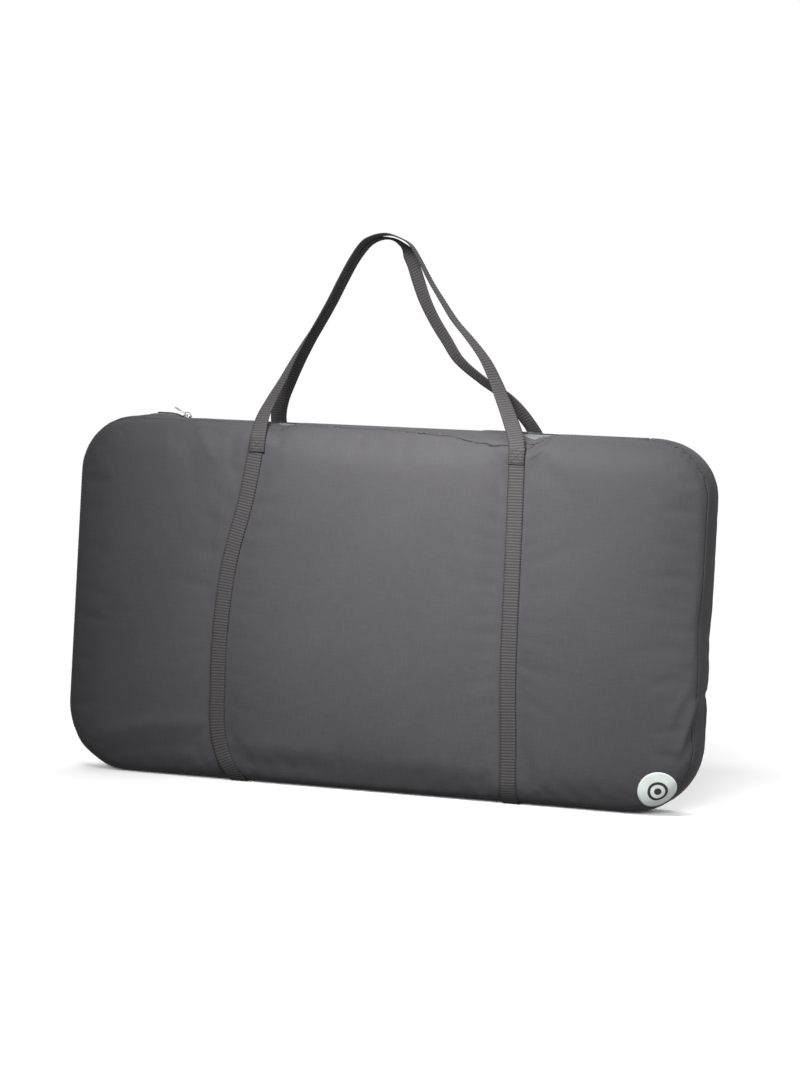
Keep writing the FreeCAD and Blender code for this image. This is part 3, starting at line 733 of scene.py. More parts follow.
def sweep(shape: bmesh.types.BMesh, section: Sequence[tuple[float, float]],
          places: Sequence[Matrix], step: float, ring: bool = False) -> None:
    """Pulls a closed section along a line of places.

    Args:
        shape: the shape it is added to.
        section: the section's corners, in order, as across and outward.
        places: the section's places.
        step: the distance between places, kept on the mesh for its pattern.
        ring: whether the last place joins on to the first.
    """
    along = shape.verts.layers.float.get("along") or shape.verts.layers.float.new("along")
    across = shape.verts.layers.float.get("across") or shape.verts.layers.float.new("across")
    corners = [shape.verts.new((x, y, 0.0)) for x, y in section]
    for corner, (x, y) in zip(corners, section):
        corner[across] = x
    edges = [shape.edges.new((a, b)) for a, b in zip(corners, corners[1:] + corners[:1])]
    bmesh.ops.transform(shape, matrix=places[0], verts=corners)
    first = list(edges)
    for i, (before, after) in enumerate(zip(places, places[1:]), 1):
        grown = bmesh.ops.extrude_edge_only(shape, edges=edges)["geom"]
        corners = [e for e in grown if isinstance(e, bmesh.types.BMVert)]
        edges = [e for e in grown if isinstance(e, bmesh.types.BMEdge)]
        bmesh.ops.transform(shape, matrix=after @ before.inverted(), verts=corners)
        for corner in corners:
            corner[along] = i * step
    if ring:
        bmesh.ops.bridge_loops(shape, edges=first + edges)
    else:
        for loop in (first, edges):
            bmesh.ops.contextual_create(shape, geom=loop)
    bmesh.ops.recalc_face_normals(shape, faces=shape.faces)


def rounded_section(width: float, thick: float, spans: int = 4) -> list[tuple[float, float]]:
    """A flat band's section with soft edges.

    Args:
        width: the band's width.
        thick: its thickness.
        spans: how many faces lie across it.

    Returns:
        The section's corners, in order.
    """
    half, high = width / 2, thick / 2
    row = [(-half + high * 0.7) + (width - high * 1.4) * i / spans for i in range(spans + 1)]
    return ([(x, -high) for x in row] + [(half, 0.0)]
            + [(x, high) for x in reversed(row)] + [(-half, 0.0)])


def disc_section(radius: float, corners: int = 8) -> list[tuple[float, float]]:
    """A round section."""
    return [(radius * math.cos(2 * math.pi * i / corners),
             radius * math.sin(2 * math.pi * i / corners)) for i in range(corners)]


def rounded_block(shape: bmesh.types.BMesh, low: Vector, high: Vector, radius: float,
                  segments: int = 3) -> list[bmesh.types.BMVert]:
    """Adds a block with every edge rounded, and returns its points.

    Args:
        shape: the shape it is added to.
        low: its lowest corner.
        high: its highest corner.
        radius: the size of the rounding.
        segments: how many faces round an edge.

    Returns:
        The block's points.
    """
    size = high - low
    grown = bmesh.ops.create_cube(shape, size=1.0, matrix=Matrix.Translation((low + high) / 2)
                                  @ Matrix.Diagonal((*size, 1.0)))
    edges = {edge for vert in grown["verts"] for edge in vert.link_edges}
    made = bmesh.ops.bevel(shape, geom=list(edges), offset=radius, segments=segments,
                           profile=0.5, affect="EDGES", material=-1)
    return list({v for f in made["faces"] for v in f.verts})


def stitches(shape: bmesh.types.BMesh, points: Sequence[Vector],
             outward: Callable[[Vector], Vector], pitch: float = 0.0036,
             length: float = 0.0025, thread: float = 0.0005) -> None:
    """Lays a row of single stitches along a line.

    Args:
        shape: the shape they are added to.
        points: the line.
        outward: the direction away from the cloth at a point.
        pitch: from one stitch to the next.
        length: a stitch's own length.
        thread: how wide the thread is.
    """
    row = evenly(points, pitch / 2)
    for i in range(1, len(row) - 1, 2):
        along = (row[i + 1] - row[i - 1]).normalized()
        out = outward(row[i])
        out = (out - along * out.dot(along)).normalized()
        place = station(row[i], out.cross(along) * (thread / 2), out * (thread / 2),
                        along * (length / 2))
        bmesh.ops.create_icosphere(shape, subdivisions=1, radius=1.0, matrix=place)


# ---------------------------------------------------------------- the bag's outline


@dataclass(frozen=True)
class Outline:
    """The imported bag's closed form: a rounded rectangle with a rounded rim."""

    half_width: float = 0.500
    half_depth: float = 0.066
    top: float = 0.558
    low: float = -0.002
    base: float = 0.002
    top_corner: float = 0.088
    bottom_corner: float = 0.108
    rim: float = 0.040
    seam: float = 0.044
    waist: float = 0.28

    @property
    def rim_back(self) -> float:
        """How far the middle of the rim's rounding lies from the middle plane."""
        return self.half_depth - self.rim

    def loop(self, inset: float, step: float = 0.004) -> list[Vector]:
        """Points round the outline in the x-z plane, a distance inside it.

        Args:
            inset: how far inside the outline.
            step: the distance between points.

        Returns:
            The closed line's points.
        """
        corners = ((1, 1, self.top_corner), (-1, 1, self.top_corner),
                   (-1, -1, self.bottom_corner), (1, -1, self.bottom_corner))
        found = []
        for across, up, radius in corners:
            centre_x = across * (self.half_width - radius)
            centre_z = (self.top if up > 0 else self.low) - up * radius
            reach = radius - inset
            start = {(1, 1): 0, (-1, 1): 90, (-1, -1): 180, (1, -1): 270}[(across, up)]
            count = 24
            for i in range(count + 1):
                turn = math.radians(start + 90 * i / count)
                found.append(Vector((centre_x + reach * math.cos(turn), 0.0,
                                     centre_z + reach * math.sin(turn))))
        found.append(found[0].copy())
        return evenly(found, step)

    def seam_ring(self, side: Side, lift: float = 0.0, back: float = 0.0) -> list[Vector]:
        """The seam's own ring on a side, lifted off the cloth or moved along the rim.

        Args:
            side: the front or the back.
            lift: how far off the cloth.
            back: how far along the rim.

        Returns:
            The ring's points.
        """
        across = self.seam + back - self.rim_back
        reach = self.rim + lift
        inset = self.rim - math.sqrt(max(reach ** 2 - across ** 2, 1e-9))
        ring = self.loop(inset)
        return [Vector((p.x, side.value * (self.seam + back), max(p.z, self.base - lift)))
                for p in ring]

    def rim_normal(self, point: Vector) -> Vector:
        """The outward direction on the rim or the side walls at a point.

        Args:
            point: a point on the bag.

        Returns:
            The direction.
        """
        reach = self.rim
        corner = self.top_corner if point.z > self.waist else self.bottom_corner
        x_room = self.half_width - corner
        z_mid = (self.top - corner) if point.z > self.waist else (self.low + corner)
        dx = max(abs(point.x) - x_room, 0.0) * (1 if point.x > 0 else -1)
        dz = (max(point.z - z_mid, 0.0) if point.z > self.waist else min(point.z - z_mid, 0.0))
        flat = Vector((dx, 0.0, dz))
        if flat.length < 1e-6:
            flat = Vector((1.0 if point.x > 0 else -1.0, 0.0, 0.0))
        flat.normalize()
        lean = max(-1.0, min(1.0, (abs(point.y) - self.rim_back) / reach))
        lean = max(lean, 0.0)
        level = math.sqrt(max(1.0 - lean ** 2, 0.0))
        return Vector((flat.x * level, math.copysign(lean, point.y), flat.z * level))


OUTLINE = Outline()


HUMP_AT = -0.378
HUMP_REACH = 0.030


def hump(x: float) -> float:
    """How far the top swells under the zip's left end, from 0 to 1."""
    return math.exp(-((x - HUMP_AT) / HUMP_REACH) ** 4)


@dataclass(frozen=True)
class Fold:
    """A crease or ridge in the cloth, from one point to another, fading at its ends."""

    start: Colour
    end: Colour
    reach: float
    rise: float
    bow: float = 0.0

    def lift(self, point: Vector) -> float:
        """How far the fold moves a point out of the cloth.

        Args:
            point: a point of the cloth.

        Returns:
            The distance, below 0 for inwards.
        """
        if point.y * self.start[1] < 0 or (self.start[1] == 0 and abs(point.y) > 0.05):
            return 0.0
        first = Vector((self.start[0], 0.0, self.start[2]))
        last = Vector((self.end[0], 0.0, self.end[2]))
        point = Vector((point.x, 0.0, point.z))
        span = last - first
        share = max(0.0, min(1.0, (point - first).dot(span) / span.length_squared))
        spot = first + span * share
        if self.bow:
            side = Vector((-span.z, 0.0, span.x)).normalized()
            spot += side * (self.bow * 4 * share * (1 - share))
        away = (point - spot).length / self.reach
        if away > 3:
            return 0.0
        fade = math.sin(math.pi * min(1.0, max(0.0, 0.08 + 0.84 * share))) ** 0.7
        return self.rise * fade * math.exp(-away * away)


# ---------------------------------------------------------------- straps and handles


STRAP_LINES: dict[str, tuple[tuple[float, float], ...]] = {
    "left": ((-0.200, -0.0165), (-0.236, 0.0636), (-0.243, 0.1484), (-0.243, 0.2438),
             (-0.234, 0.3392), (-0.213, 0.4346), (-0.199, 0.530)),
    "right": ((0.224, -0.0165), (0.220, 0.0848), (0.214, 0.1908), (0.212, 0.3074),
              (0.211, 0.424), (0.209, 0.530)),
}
HANDLE_LINES: dict[Side, tuple[tuple[float, float], ...]] = {
    Side.FRONT: ((-0.199, 0), (-0.199, 0.1), (-0.192, 0.19), (-0.179, 0.29), (-0.165, 0.39),
                 (-0.148, 0.49), (-0.130, 0.585), (-0.113, 0.68), (-0.097, 0.78),
                 (-0.080, 0.88), (-0.062, 0.96), (-0.044, 0.99), (-0.024, 1), (-0.006, 0.985),
                 (0.012, 0.955), (0.027, 0.89), (0.047, 0.785), (0.068, 0.69), (0.089, 0.6),
                 (0.116, 0.51), (0.140, 0.42), (0.158, 0.325), (0.174, 0.23), (0.190, 0.14),
                 (0.205, 0.05), (0.209, 0)),
    Side.BACK: ((-0.199, 0), (-0.205, 0.1), (-0.197, 0.19), (-0.181, 0.29), (-0.165, 0.39),
                (-0.148, 0.49), (-0.130, 0.585), (-0.113, 0.68), (-0.097, 0.78),
                (-0.080, 0.88), (-0.062, 0.955), (-0.046, 0.985), (-0.030, 0.99),
                (-0.013, 0.97), (0, 0.93), (0.011, 0.87), (0.021, 0.79), (0.033, 0.7),
                (0.050, 0.605), (0.070, 0.515), (0.092, 0.42), (0.129, 0.33), (0.169, 0.25),
                (0.197, 0.155), (0.211, 0.075), (0.209, 0)),
}


# how far the loose leg of the back handle has turned, in degrees, at each share of its climb
LOOSE_TURN = ((0.0, 0.0), (0.15, 14.0), (0.35, 36.0), (0.6, 32.0), (0.8, 24.0), (0.91, 26.0),
              (0.97, 62.0), (1.0, 90.0))


def strap_x(name: str, height: float) -> float:
    """Where a strap's middle is at a height.

    Args:
        name: the strap's name.
        height: the height.

    Returns:
        Its place along x.
    """
    line = SmoothLine((x, z) for x, z in STRAP_LINES[name])
    low, high = 0.0, line.knots[-1]
    for _ in range(30):
        middle = (low + high) / 2
        if line.at(middle).y < height:
            low = middle
        else:
            high = middle
    return line.at(low).x


STRAP_FOOT = -0.002
STRAP_HEAD = 0.530
STRAP_STEP = 0.004
STRAP_COUNT = 140
STRAP_TABLE = {name: [strap_x(name, STRAP_FOOT + STRAP_STEP * i) for i in range(STRAP_COUNT)]
               for name in STRAP_LINES}


def strap_middle(name: str, height: float) -> float:
    """A strap's middle at a height, read from the worked-out line.

    Args:
        name: the strap's name.
        height: the height.

    Returns:
        Its place along x.
    """
    place = (min(max(height, STRAP_FOOT), STRAP_HEAD) - STRAP_FOOT) / STRAP_STEP
    index = min(int(place), STRAP_COUNT - 3)
    row = STRAP_TABLE[name]
    return row[index] + (row[index + 1] - row[index]) * (place - index)


@dataclass
class Straps:
    """The two straps that go down the front, under the base and up the back."""

    lift: float = 0.0010
    section_spans: int = 6
    rib: float = 0.16
    sewn_inset: float = 0.0024
    top: float = 0.530

    def route(self, name: str, lift: float) -> list[Vector]:
        """The strap's line at a distance off the bag, from the front's top to the back's.

        Args:
            name: the strap's name.
            lift: how far off the bag.

        Returns:
            The line's points.
        """
        shape = OUTLINE
        reach = shape.rim + lift
        high, low = shape.top - shape.rim, shape.low + shape.rim
        start = math.asin((self.top - high) / reach)
        side = []
        for i in range(9):
            turn = start * (1 - i / 8)
            side.append((shape.rim_back + reach * math.cos(turn), high + reach * math.sin(turn)))
        for i in range(1, 120):
            side.append((shape.rim_back + reach, high + (low - high) * i / 120))
        end = math.asin(min(1.0, (low - shape.base + lift) / reach))
        for i in range(25):
            turn = end * i / 24
            side.append((shape.rim_back + reach * math.cos(turn), low - reach * math.sin(turn)))
        front = [Vector((strap_middle(name, z), -y, z)) for y, z in side]
        back = [Vector((p.x, -p.y, p.z)) for p in reversed(front)]
        return evenly(front + back, RIB_STEP)

    def outward(self, point: Vector) -> Vector:
        """The direction away from the bag at a point of a strap.

        Args:
            point: a point of a strap.

        Returns:
            The direction.
        """
        shape = OUTLINE
        high, low = shape.top - shape.rim, shape.low + shape.rim
        back = max(abs(point.y) - shape.rim_back, 0.0)
        up = point.z - high if point.z > high else min(point.z - low, 0.0)
        if back < 0.012 and point.z < 0.01:
            return Vector((0.0, 0.0, -1.0))
        return Vector((0.0, math.copysign(back, point.y), up)).normalized()

    def build(self) -> None:
        """Both straps and the stitching along their edges, the right row also a painted shadow
        line.
        """
        section = rounded_section(WEBBING_WIDTH, WEBBING_THICK, self.section_spans)
        for name in STRAP_LINES:
            points = self.route(name, self.lift)
            places = stations_along(points, lambda i, along: self.outward(points[i]), self.rib)
            shape = bmesh.new()
            sweep(shape, section, places, RIB_STEP)
            Piece(f"webbing_strap_{name}", WEBBING, "webbing", (f"strap_{name}",)).make(shape)
            rows = bmesh.new()
            # the left row is plain stitching; the right row, thick dark thread almost at the very
            # edge, is partly stitching and partly a painted shadow line where the strap's edge
            # meets the cloth
            for edge, inset, thread in ((-1, self.sewn_inset, 0.0005), (1, 0.0004, 0.0014)):
                offset = edge * (WEBBING_WIDTH / 2 - inset)
                line = [place @ Vector((offset, WEBBING_THICK * 0.42, 0.0)) for place in places]
                stitches(rows, line[8:-8], self.outward, pitch=0.0042, length=0.0034,
                         thread=thread)
            Piece(f"strap_{name}_edge_stitching_and_shadow_line", THREAD, "thread").make(rows)


@dataclass
class Handles:
    """The two carry handles, each one length of webbing with its sewn ends."""

    root: float = 0.530
    tail_low: float = 0.508
    rise: float = 0.323
    play: float = 0.0003
    crown_out: float = 0.0128
    lean_reach: float = 0.18
    lean_power: float = 1.5
    rib: float = 0.16
    box_height: float = 0.0175
    margin: float = 0.0035
    tail_lift: float = 0.0031
    blend_start: float = 0.5285
    blend_end: float = 0.548

    def tail(self, across: float, facing: int) -> list[Vector]:
        """The sewn end's line, upwards, on top of the strap.

        Args:
            across: where the end is along x.
            facing: -1 for the front, 1 for the back.

        Returns:
            The line's points.
        """
        shape = OUTLINE
        reach, high = shape.rim + self.tail_lift, shape.top - shape.rim
        found = []
        for i in range(13):
            z = self.tail_low + (self.root - self.tail_low) * i / 12
            drop = max(z - high, 0.0)
            out = shape.rim_back + math.sqrt(reach ** 2 - drop ** 2)
            found.append(Vector((across, facing * out, z)))
        return found

    def points(self, side: Side) -> list[Vector]:
        """The whole line of a handle, from one sewn end to the other.

        Args:
            side: the front or the back.

        Returns:
            The line's points.
        """
        line = HANDLE_LINES[side]
        facing = side.value
        first, last = self.tail(line[0][0], facing), self.tail(line[-1][0], facing)
        root_out = abs(first[-1].y)
        loop = SmoothLine(
            (x, facing * (self.crown_out + (root_out - self.crown_out)
                          * math.exp(-(s / self.lean_reach) ** self.lean_power)),
             self.root + self.play + s * (self.rise - self.play)) for x, s in line)
        return evenly(first[:-1] + loop.spread(0.002) + last[-2::-1], RIB_STEP)

    @staticmethod
    def turn(climb: float, loose: bool) -> float:
        """How far a band has turned from flat on the bag, in degrees.

        Args:
            climb: how high up the handle, from 0 to 1.
            loose: whether the leg hangs loose.

        Returns:
            The angle.
        """
        if not loose:
            return 90 * climb * (2 - climb)
        index = min(max(bisect_right(LOOSE_TURN, (climb, 90.0)) - 1, 0), len(LOOSE_TURN) - 2)
        (low, start), (high, end) = LOOSE_TURN[index:index + 2]
        share = (climb - low) / (high - low)
        return start + (end - start) * share * share * (3 - 2 * share)

    def build(self) -> None:
        """Both handles and their box stitching."""
        section = rounded_section(WEBBING_WIDTH, WEBBING_THICK, 6)
        for side in Side:
            points = self.points(side)
            crown = max(points, key=lambda p: p.z).x
            facing = side.value

            def outward(index: int, along: Vector) -> Vector:
                """The band's own outward direction, which turns as it climbs."""
                point = points[index]
                climb = min(1.0, max(0.0, (point.z - self.root) / self.rise))
                left = point.x < crown
                twist = math.radians(self.turn(climb, side is Side.BACK and not left))
                turn = twist if left else math.pi - twist
                wide = Vector((math.cos(turn), facing * math.sin(turn), 0.0))
                return along.cross(wide)

            places = stations_along(points, outward, self.rib)
            shape = bmesh.new()
            sweep(shape, section, places, RIB_STEP)
            word = side.word
            made = Piece(f"{word}_carry_handle_webbing", WEBBING, "webbing",
                         (f"{word}_handle", f"{word}_handle_end_left",
                          f"{word}_handle_end_right"), body=None).make(shape)
            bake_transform(made)
        self.box_stitching()

    def box_stitching(self) -> None:
        """A sewn box with a cross in it at each of the four roots."""
        shape = bmesh.new()
        low, high = self.root - 0.019, self.root - 0.019 + self.box_height
        half = WEBBING_WIDTH / 2 - self.margin
        for side in Side:
            line = HANDLE_LINES[side]
            for middle in (line[0][0], line[-1][0]):
                corners = [(middle - half, low), (middle + half, low), (middle + half, high),
                           (middle - half, high)]
                runs = [*zip(corners, corners[1:] + corners[:1]), (corners[0], corners[2]),
                        (corners[1], corners[3])]
                for (x0, z0), (x1, z1) in runs:
                    row = [Vector((x0 + (x1 - x0) * t / 8, 0.0, z0 + (z1 - z0) * t / 8))
                           for t in range(9)]
                    for point in row:
                        drop = max(point.z - (OUTLINE.top - OUTLINE.rim), 0.0)
                        reach = OUTLINE.rim + self.tail_lift + WEBBING_THICK * 0.56
                        out = OUTLINE.rim_back + math.sqrt(reach ** 2 - drop ** 2)
                        point.y = side.value * out
                    stitches(shape, row, lambda p: Vector((0.0, math.copysign(1, p.y), 0.1)),
                             pitch=0.0030, length=0.0026, thread=0.0011)
        Piece("handle_box_stitching", THREAD, "thread", ("box_stitching",)).make(shape)


# ---------------------------------------------------------------- the bag's cloth


@dataclass
class BagCloth:
    """The bag's shell, filled from inside, then cut at its seams into its panels."""

    voxel: float = 0.008
    pressure: float = 4.0
    frames: int = 20
    cap: float = 0.008
    shrink: float = -0.006
    cloth: float = 0.0016
    zip_half: float = 0.400
    window: float = 0.010
    seam_dip: float = 0.0012
    hump_cloth: float = 0.0052
    hollows: tuple[Colour, ...] = ((0.228, 0.024, 0.0120), (-0.172, 0.017, 0.0090))
    wander: tuple[tuple[float, float], ...] = (
        (-0.42, 0.0), (-0.20, 0.0), (0.0, 0.002), (0.09, 0.008), (0.155, 0.016),
        (0.200, 0.016), (0.223, 0.014), (0.238, -0.002), (0.254, -0.013), (0.300, -0.014),
        (0.360, -0.008), (0.42, 0.0))
    folds: tuple[Fold, ...] = (
        # the drawn-in cloth beside the left strap
        Fold((-0.262, -0.066, 0.300), (-0.250, -0.066, 0.455), 0.006, 0.0014, -0.004),
        Fold((-0.275, -0.066, 0.250), (-0.268, -0.066, 0.400), 0.010, -0.0010, -0.004),
        Fold((-0.225, -0.066, 0.450), (-0.210, -0.066, 0.515), 0.004, 0.0014),
        # gathers under the zip's left end
        Fold((-0.330, -0.052, 0.548), (-0.300, -0.066, 0.440), 0.012, -0.0016, 0.010),
        Fold((-0.352, -0.052, 0.548), (-0.345, -0.066, 0.470), 0.010, 0.0010, 0.004),
        Fold((-0.300, -0.052, 0.552), (-0.262, -0.066, 0.490), 0.007, 0.0014, -0.004),
        # the long soft fold along the foot of the bag
        Fold((-0.468, -0.060, 0.044), (-0.236, -0.066, 0.086), 0.013, 0.0028, 0.012),
        Fold((-0.450, -0.060, 0.020), (-0.240, -0.060, 0.050), 0.014, -0.0022, 0.008),
        Fold((-0.222, -0.063, 0.058), (-0.060, -0.066, 0.058), 0.012, 0.0014, 0.002),
        Fold((-0.215, -0.058, 0.034), (-0.060, -0.058, 0.030), 0.012, -0.0016, 0.0),
        Fold((0.020, -0.062, 0.044), (0.180, -0.064, 0.052), 0.015, 0.0012, 0.004),
        # slanting creases on the right side
        Fold((0.474, -0.060, 0.092), (0.499, -0.050, 0.184), 0.0055, 0.0044, 0.0),
        Fold((0.488, -0.050, 0.096), (0.502, -0.030, 0.168), 0.0075, -0.0042, 0.0),
        Fold((0.456, -0.060, 0.120), (0.484, -0.050, 0.190), 0.0060, 0.0022, 0.004),
        Fold((0.500, 0.000, 0.172), (0.501, 0.020, 0.188), 0.0070, -0.0036, 0.0),
        Fold((0.488, -0.040, 0.250), (0.500, -0.010, 0.330), 0.009, -0.0018, 0.0),
        Fold((0.500, 0.000, 0.230), (0.498, 0.030, 0.300), 0.009, -0.0018, 0.0),
        # where the right handle draws the cloth together
        Fold((0.226, -0.060, 0.524), (0.262, -0.040, 0.548), 0.0040, 0.0034, 0.0),
        Fold((0.232, -0.060, 0.508), (0.290, -0.062, 0.470), 0.016, -0.0016, 0.006),
        Fold((0.186, -0.066, 0.530), (0.176, -0.066, 0.200), 0.019, -0.0032, 0.004),
        # the back panel's own
        Fold((-0.180, 0.066, 0.480), (-0.060, 0.066, 0.380), 0.016, 0.0020, 0.010),
        Fold((0.250, 0.066, 0.470), (0.330, 0.066, 0.330), 0.018, -0.0020, 0.010),
        Fold((-0.400, 0.062, 0.070), (-0.120, 0.064, 0.060), 0.015, 0.0028, 0.010),
        Fold((0.020, 0.062, 0.050), (0.380, 0.063, 0.066), 0.015, 0.0026, -0.008),
        Fold((-0.455, 0.060, 0.110), (-0.496, 0.030, 0.240), 0.009, 0.0028, 0.0),
        Fold((-0.470, 0.056, 0.100), (-0.500, 0.020, 0.200), 0.008, -0.0030, 0.0),
    )
    skin: BVHTree | None = field(default=None, repr=False)

    def blank(self) -> bpy.types.Object:
        """The closed form before it is filled.

        Returns:
            The form.
        """
        shape, size = bmesh.new(), OUTLINE
        middle = (size.top + size.low) / 2
        bmesh.ops.create_cube(shape, size=2.0, matrix=Matrix.Translation((0, 0, middle))
                              @ Matrix.Diagonal((size.half_width, size.half_depth,
                                                 size.top - middle, 1.0)))
        for up, radius in ((1, size.top_corner), (-1, size.bottom_corner)):
            shape.edges.ensure_lookup_table()
            upright = [e for e in shape.edges
                       if abs(e.verts[0].co.y - e.verts[1].co.y) > 0.1
                       and up * (e.verts[0].co.z - middle) > 0.2]
            bmesh.ops.bevel(shape, geom=upright, offset=radius, segments=14, profile=0.5,
                            affect="EDGES", material=-1)
        rim = [e for e in shape.edges
               if abs(e.verts[0].co.y - e.verts[1].co.y) < 1e-5
               and abs(abs(e.verts[0].co.y) - size.half_depth) < 1e-5]
        bmesh.ops.bevel(shape, geom=rim, offset=size.rim, segments=9, profile=0.5,
                        affect="EDGES", material=-1)
        cut = bmesh.ops.bisect_plane(shape, geom=[*shape.verts, *shape.edges, *shape.faces],
                                     plane_co=(0, 0, size.base), plane_no=(0, 0, -1),
                                     clear_outer=True)
        edges = [e for e in cut["geom_cut"] if isinstance(e, bmesh.types.BMEdge)]
        bmesh.ops.holes_fill(shape, edges=edges)
        bmesh.ops.recalc_face_normals(shape, faces=shape.faces)
        mesh = bpy.data.meshes.new("shell_blank")
        shape.to_mesh(mesh)
        shape.free()
        made = bpy.data.objects.new("shell_blank", mesh)
        bpy.context.scene.collection.objects.link(made)
        net = made.modifiers.new("net", "REMESH")
        net.mode = "VOXEL"
        net.voxel_size = self.voxel
        made.data = evaluated(made)
        made.modifiers.clear()
        return made

    def hold(self, point: Vector) -> float:
        """How firmly the seams, straps, zip and floor hold a point, from 0 to 1.

        Args:
            point: a point of the form.

        Returns:
            The share.
        """
        firm = max(0.0, 1 - max(0.0, abs(abs(point.y) - OUTLINE.seam) - 0.004) / 0.012)
        if point.z < 0.008:
            return 1.0
        if point.z > 0.545 and abs(point.y) < OUTLINE.seam:
            return 1.0
        if abs(point.y) > 0.030:
            for name in STRAP_LINES:
                away = abs(point.x - strap_middle(name, point.z)) - WEBBING_WIDTH / 2
                firm = max(firm, min(1.0, max(0.0, 1 - (away - 0.002) / 0.012)))
        return firm

    def fill(self, made: bpy.types.Object, held: Callable[[Vector], float], cap: float,
             shrink: float) -> None:
        """Fills a closed form from inside as cloth, and keeps its shape.

        Args:
            made: the form.
            held: how firmly each point is held.
            cap: how far a point may go.
            shrink: below 0 the cloth is a little larger than the form.
        """
        before = [v.co.copy() for v in made.data.vertices]
        group = made.vertex_groups.new(name="held")
        for i, point in enumerate(before):
            weight = held(point)
            if weight > 0:
                group.add([i], weight, "REPLACE")
        cloth = made.modifiers.new("cloth", "CLOTH")
        settings = cloth.settings
        settings.quality = 5
        settings.mass = 0.25
        settings.tension_stiffness = settings.compression_stiffness = 12
        settings.shear_stiffness = 5
        settings.bending_stiffness = 0.6
        settings.vertex_group_mass = "held"
        settings.shrink_min = shrink
        settings.use_pressure = True
        settings.uniform_pressure_force = self.pressure
        settings.effector_weights.gravity = 0
        cloth.point_cache.frame_start = 1
        cloth.point_cache.frame_end = self.frames
        for number in range(1, self.frames + 1):
            bpy.context.scene.frame_set(number)
        made.data = evaluated(made)
        made.modifiers.clear()
        bpy.context.scene.frame_set(1)
        for start, vert in zip(before, made.data.vertices):
            gone = vert.co - start
            if gone.length > 1e-9:
                vert.co = start + gone * (cap * math.tanh(gone.length / cap) / gone.length)

    def settle(self, point: Vector, normal: Vector) -> Vector:
        """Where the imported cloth's own folds, dips and hump put a point.

        Args:
            point: a point of the cloth.
            normal: the cloth's direction there.

        Returns:
            The new place.
        """
        moved = point.copy()
        lift = sum(fold.lift(point) for fold in self.folds)
        if abs(point.y) > 0.030:
            for name in STRAP_LINES:
                away = abs(point.x - strap_middle(name, point.z)) - WEBBING_WIDTH / 2
                lift *= min(1.0, max(0.0, (away - 0.001) / 0.008))
        moved += normal * lift
        if point.z > 0.50:
            moved.z -= self.hollow(point)
            moved.z += self.hump_cloth * hump(point.x) * max(0.0, 1 - (abs(point.y) / 0.034) ** 2)
            ruck = math.exp(-(((point.y + 0.047) / 0.007) ** 2)) * min(
                1.0, max(0.0, (point.x + 0.15) / 0.2))
            moved += normal * (0.0007 * ruck * math.sin(point.x * 2 * math.pi / 0.0115))
        return moved

    def hollow(self, point: Vector) -> float:
        """How far the front of the top sinks beside the handle roots.

        Args:
            point: a point of the cloth.

        Returns:
            The distance down.
        """
        front = min(1.0, max(0.0, (-point.y - 0.004) / 0.014))
        high = min(1.0, max(0.0, (point.z - 0.50) / 0.05))
        return front * high * sum(drop * math.exp(-((point.x - middle) / reach) ** 2)
                                  for middle, reach, drop in self.hollows)

    def seam_shift(self, point: Vector) -> float:
        """How far the top seam wanders from its plane, along the bag.

        Args:
            point: a point of the cloth.

        Returns:
            The distance along y.
        """
        if point.z < 0.50:
            return 0.0
        knots = self.wander
        index = min(max(bisect_right(knots, (point.x, 0.0)) - 1, 0), len(knots) - 2)
        (x0, shift0), (x1, shift1) = knots[index:index + 2]
        share = min(1.0, max(0.0, (point.x - x0) / (x1 - x0)))
        share = share * share * (3 - 2 * share)
        return (shift0 + (shift1 - shift0) * share) * min(1.0, (point.z - 0.50) / 0.026)

    def build(self) -> None:
        """The whole shell: filled, folded, and cut into panels, gusset and top strips."""
        made = self.blank()
        self.fill(made, self.hold, self.cap, self.shrink)
        finer = made.modifiers.new("finer", "SUBSURF")
        finer.levels = finer.render_levels = 1
        mesh = evaluated(made)
        bpy.data.objects.remove(made)
        shape = bmesh.new()
        shape.from_mesh(mesh)
        shape.normal_update()
        places = [(v, self.settle(v.co, v.normal)) for v in shape.verts]
        for vert, place in places:
            vert.co = place
        self.skin = BVHTree.FromBMesh(shape)
        for side in Side:
            self.panel(shape, side)
        self.band(shape)
        shape.free()

    def cut(self, shape: bmesh.types.BMesh, spot: Sequence[float], away: Sequence[float],
            only: Callable[[Vector], bool] | None = None, clear: bool = True) -> None:
        """Cuts a shape with a plane and clears what lies beyond it.

        Args:
            shape: the shape.
            spot: a point on the plane.
            away: the plane's direction, towards what goes.
            only: which faces are cut, by their middles.
            clear: whether the far part goes.
        """
        faces = [f for f in shape.faces if only is None or only(f.calc_center_median())]
        parts = {*faces, *(e for f in faces for e in f.edges), *(v for f in faces for v in f.verts)}
        bmesh.ops.bisect_plane(shape, geom=list(parts), dist=1e-6, plane_co=spot,
                               plane_no=away, clear_outer=clear)

    def shifted(self, shape: bmesh.types.BMesh, sign: int) -> None:
        """Moves the front's top seam on to its plane, or back.

        Args:
            shape: the shape.
            sign: 1 to move it on to the plane, -1 to move it back.
        """
        for vert in shape.verts:
            if vert.co.y < 0:
                vert.co.y += sign * self.seam_shift(vert.co)

    def tuck(self, shape: bmesh.types.BMesh) -> None:
        """Turns the cut edges of a piece a little inwards, into their seam.

        Args:
            shape: the piece.
        """
        shape.normal_update()
        for vert in shape.verts:
            if vert.is_boundary:
                vert.co -= vert.normal * self.seam_dip

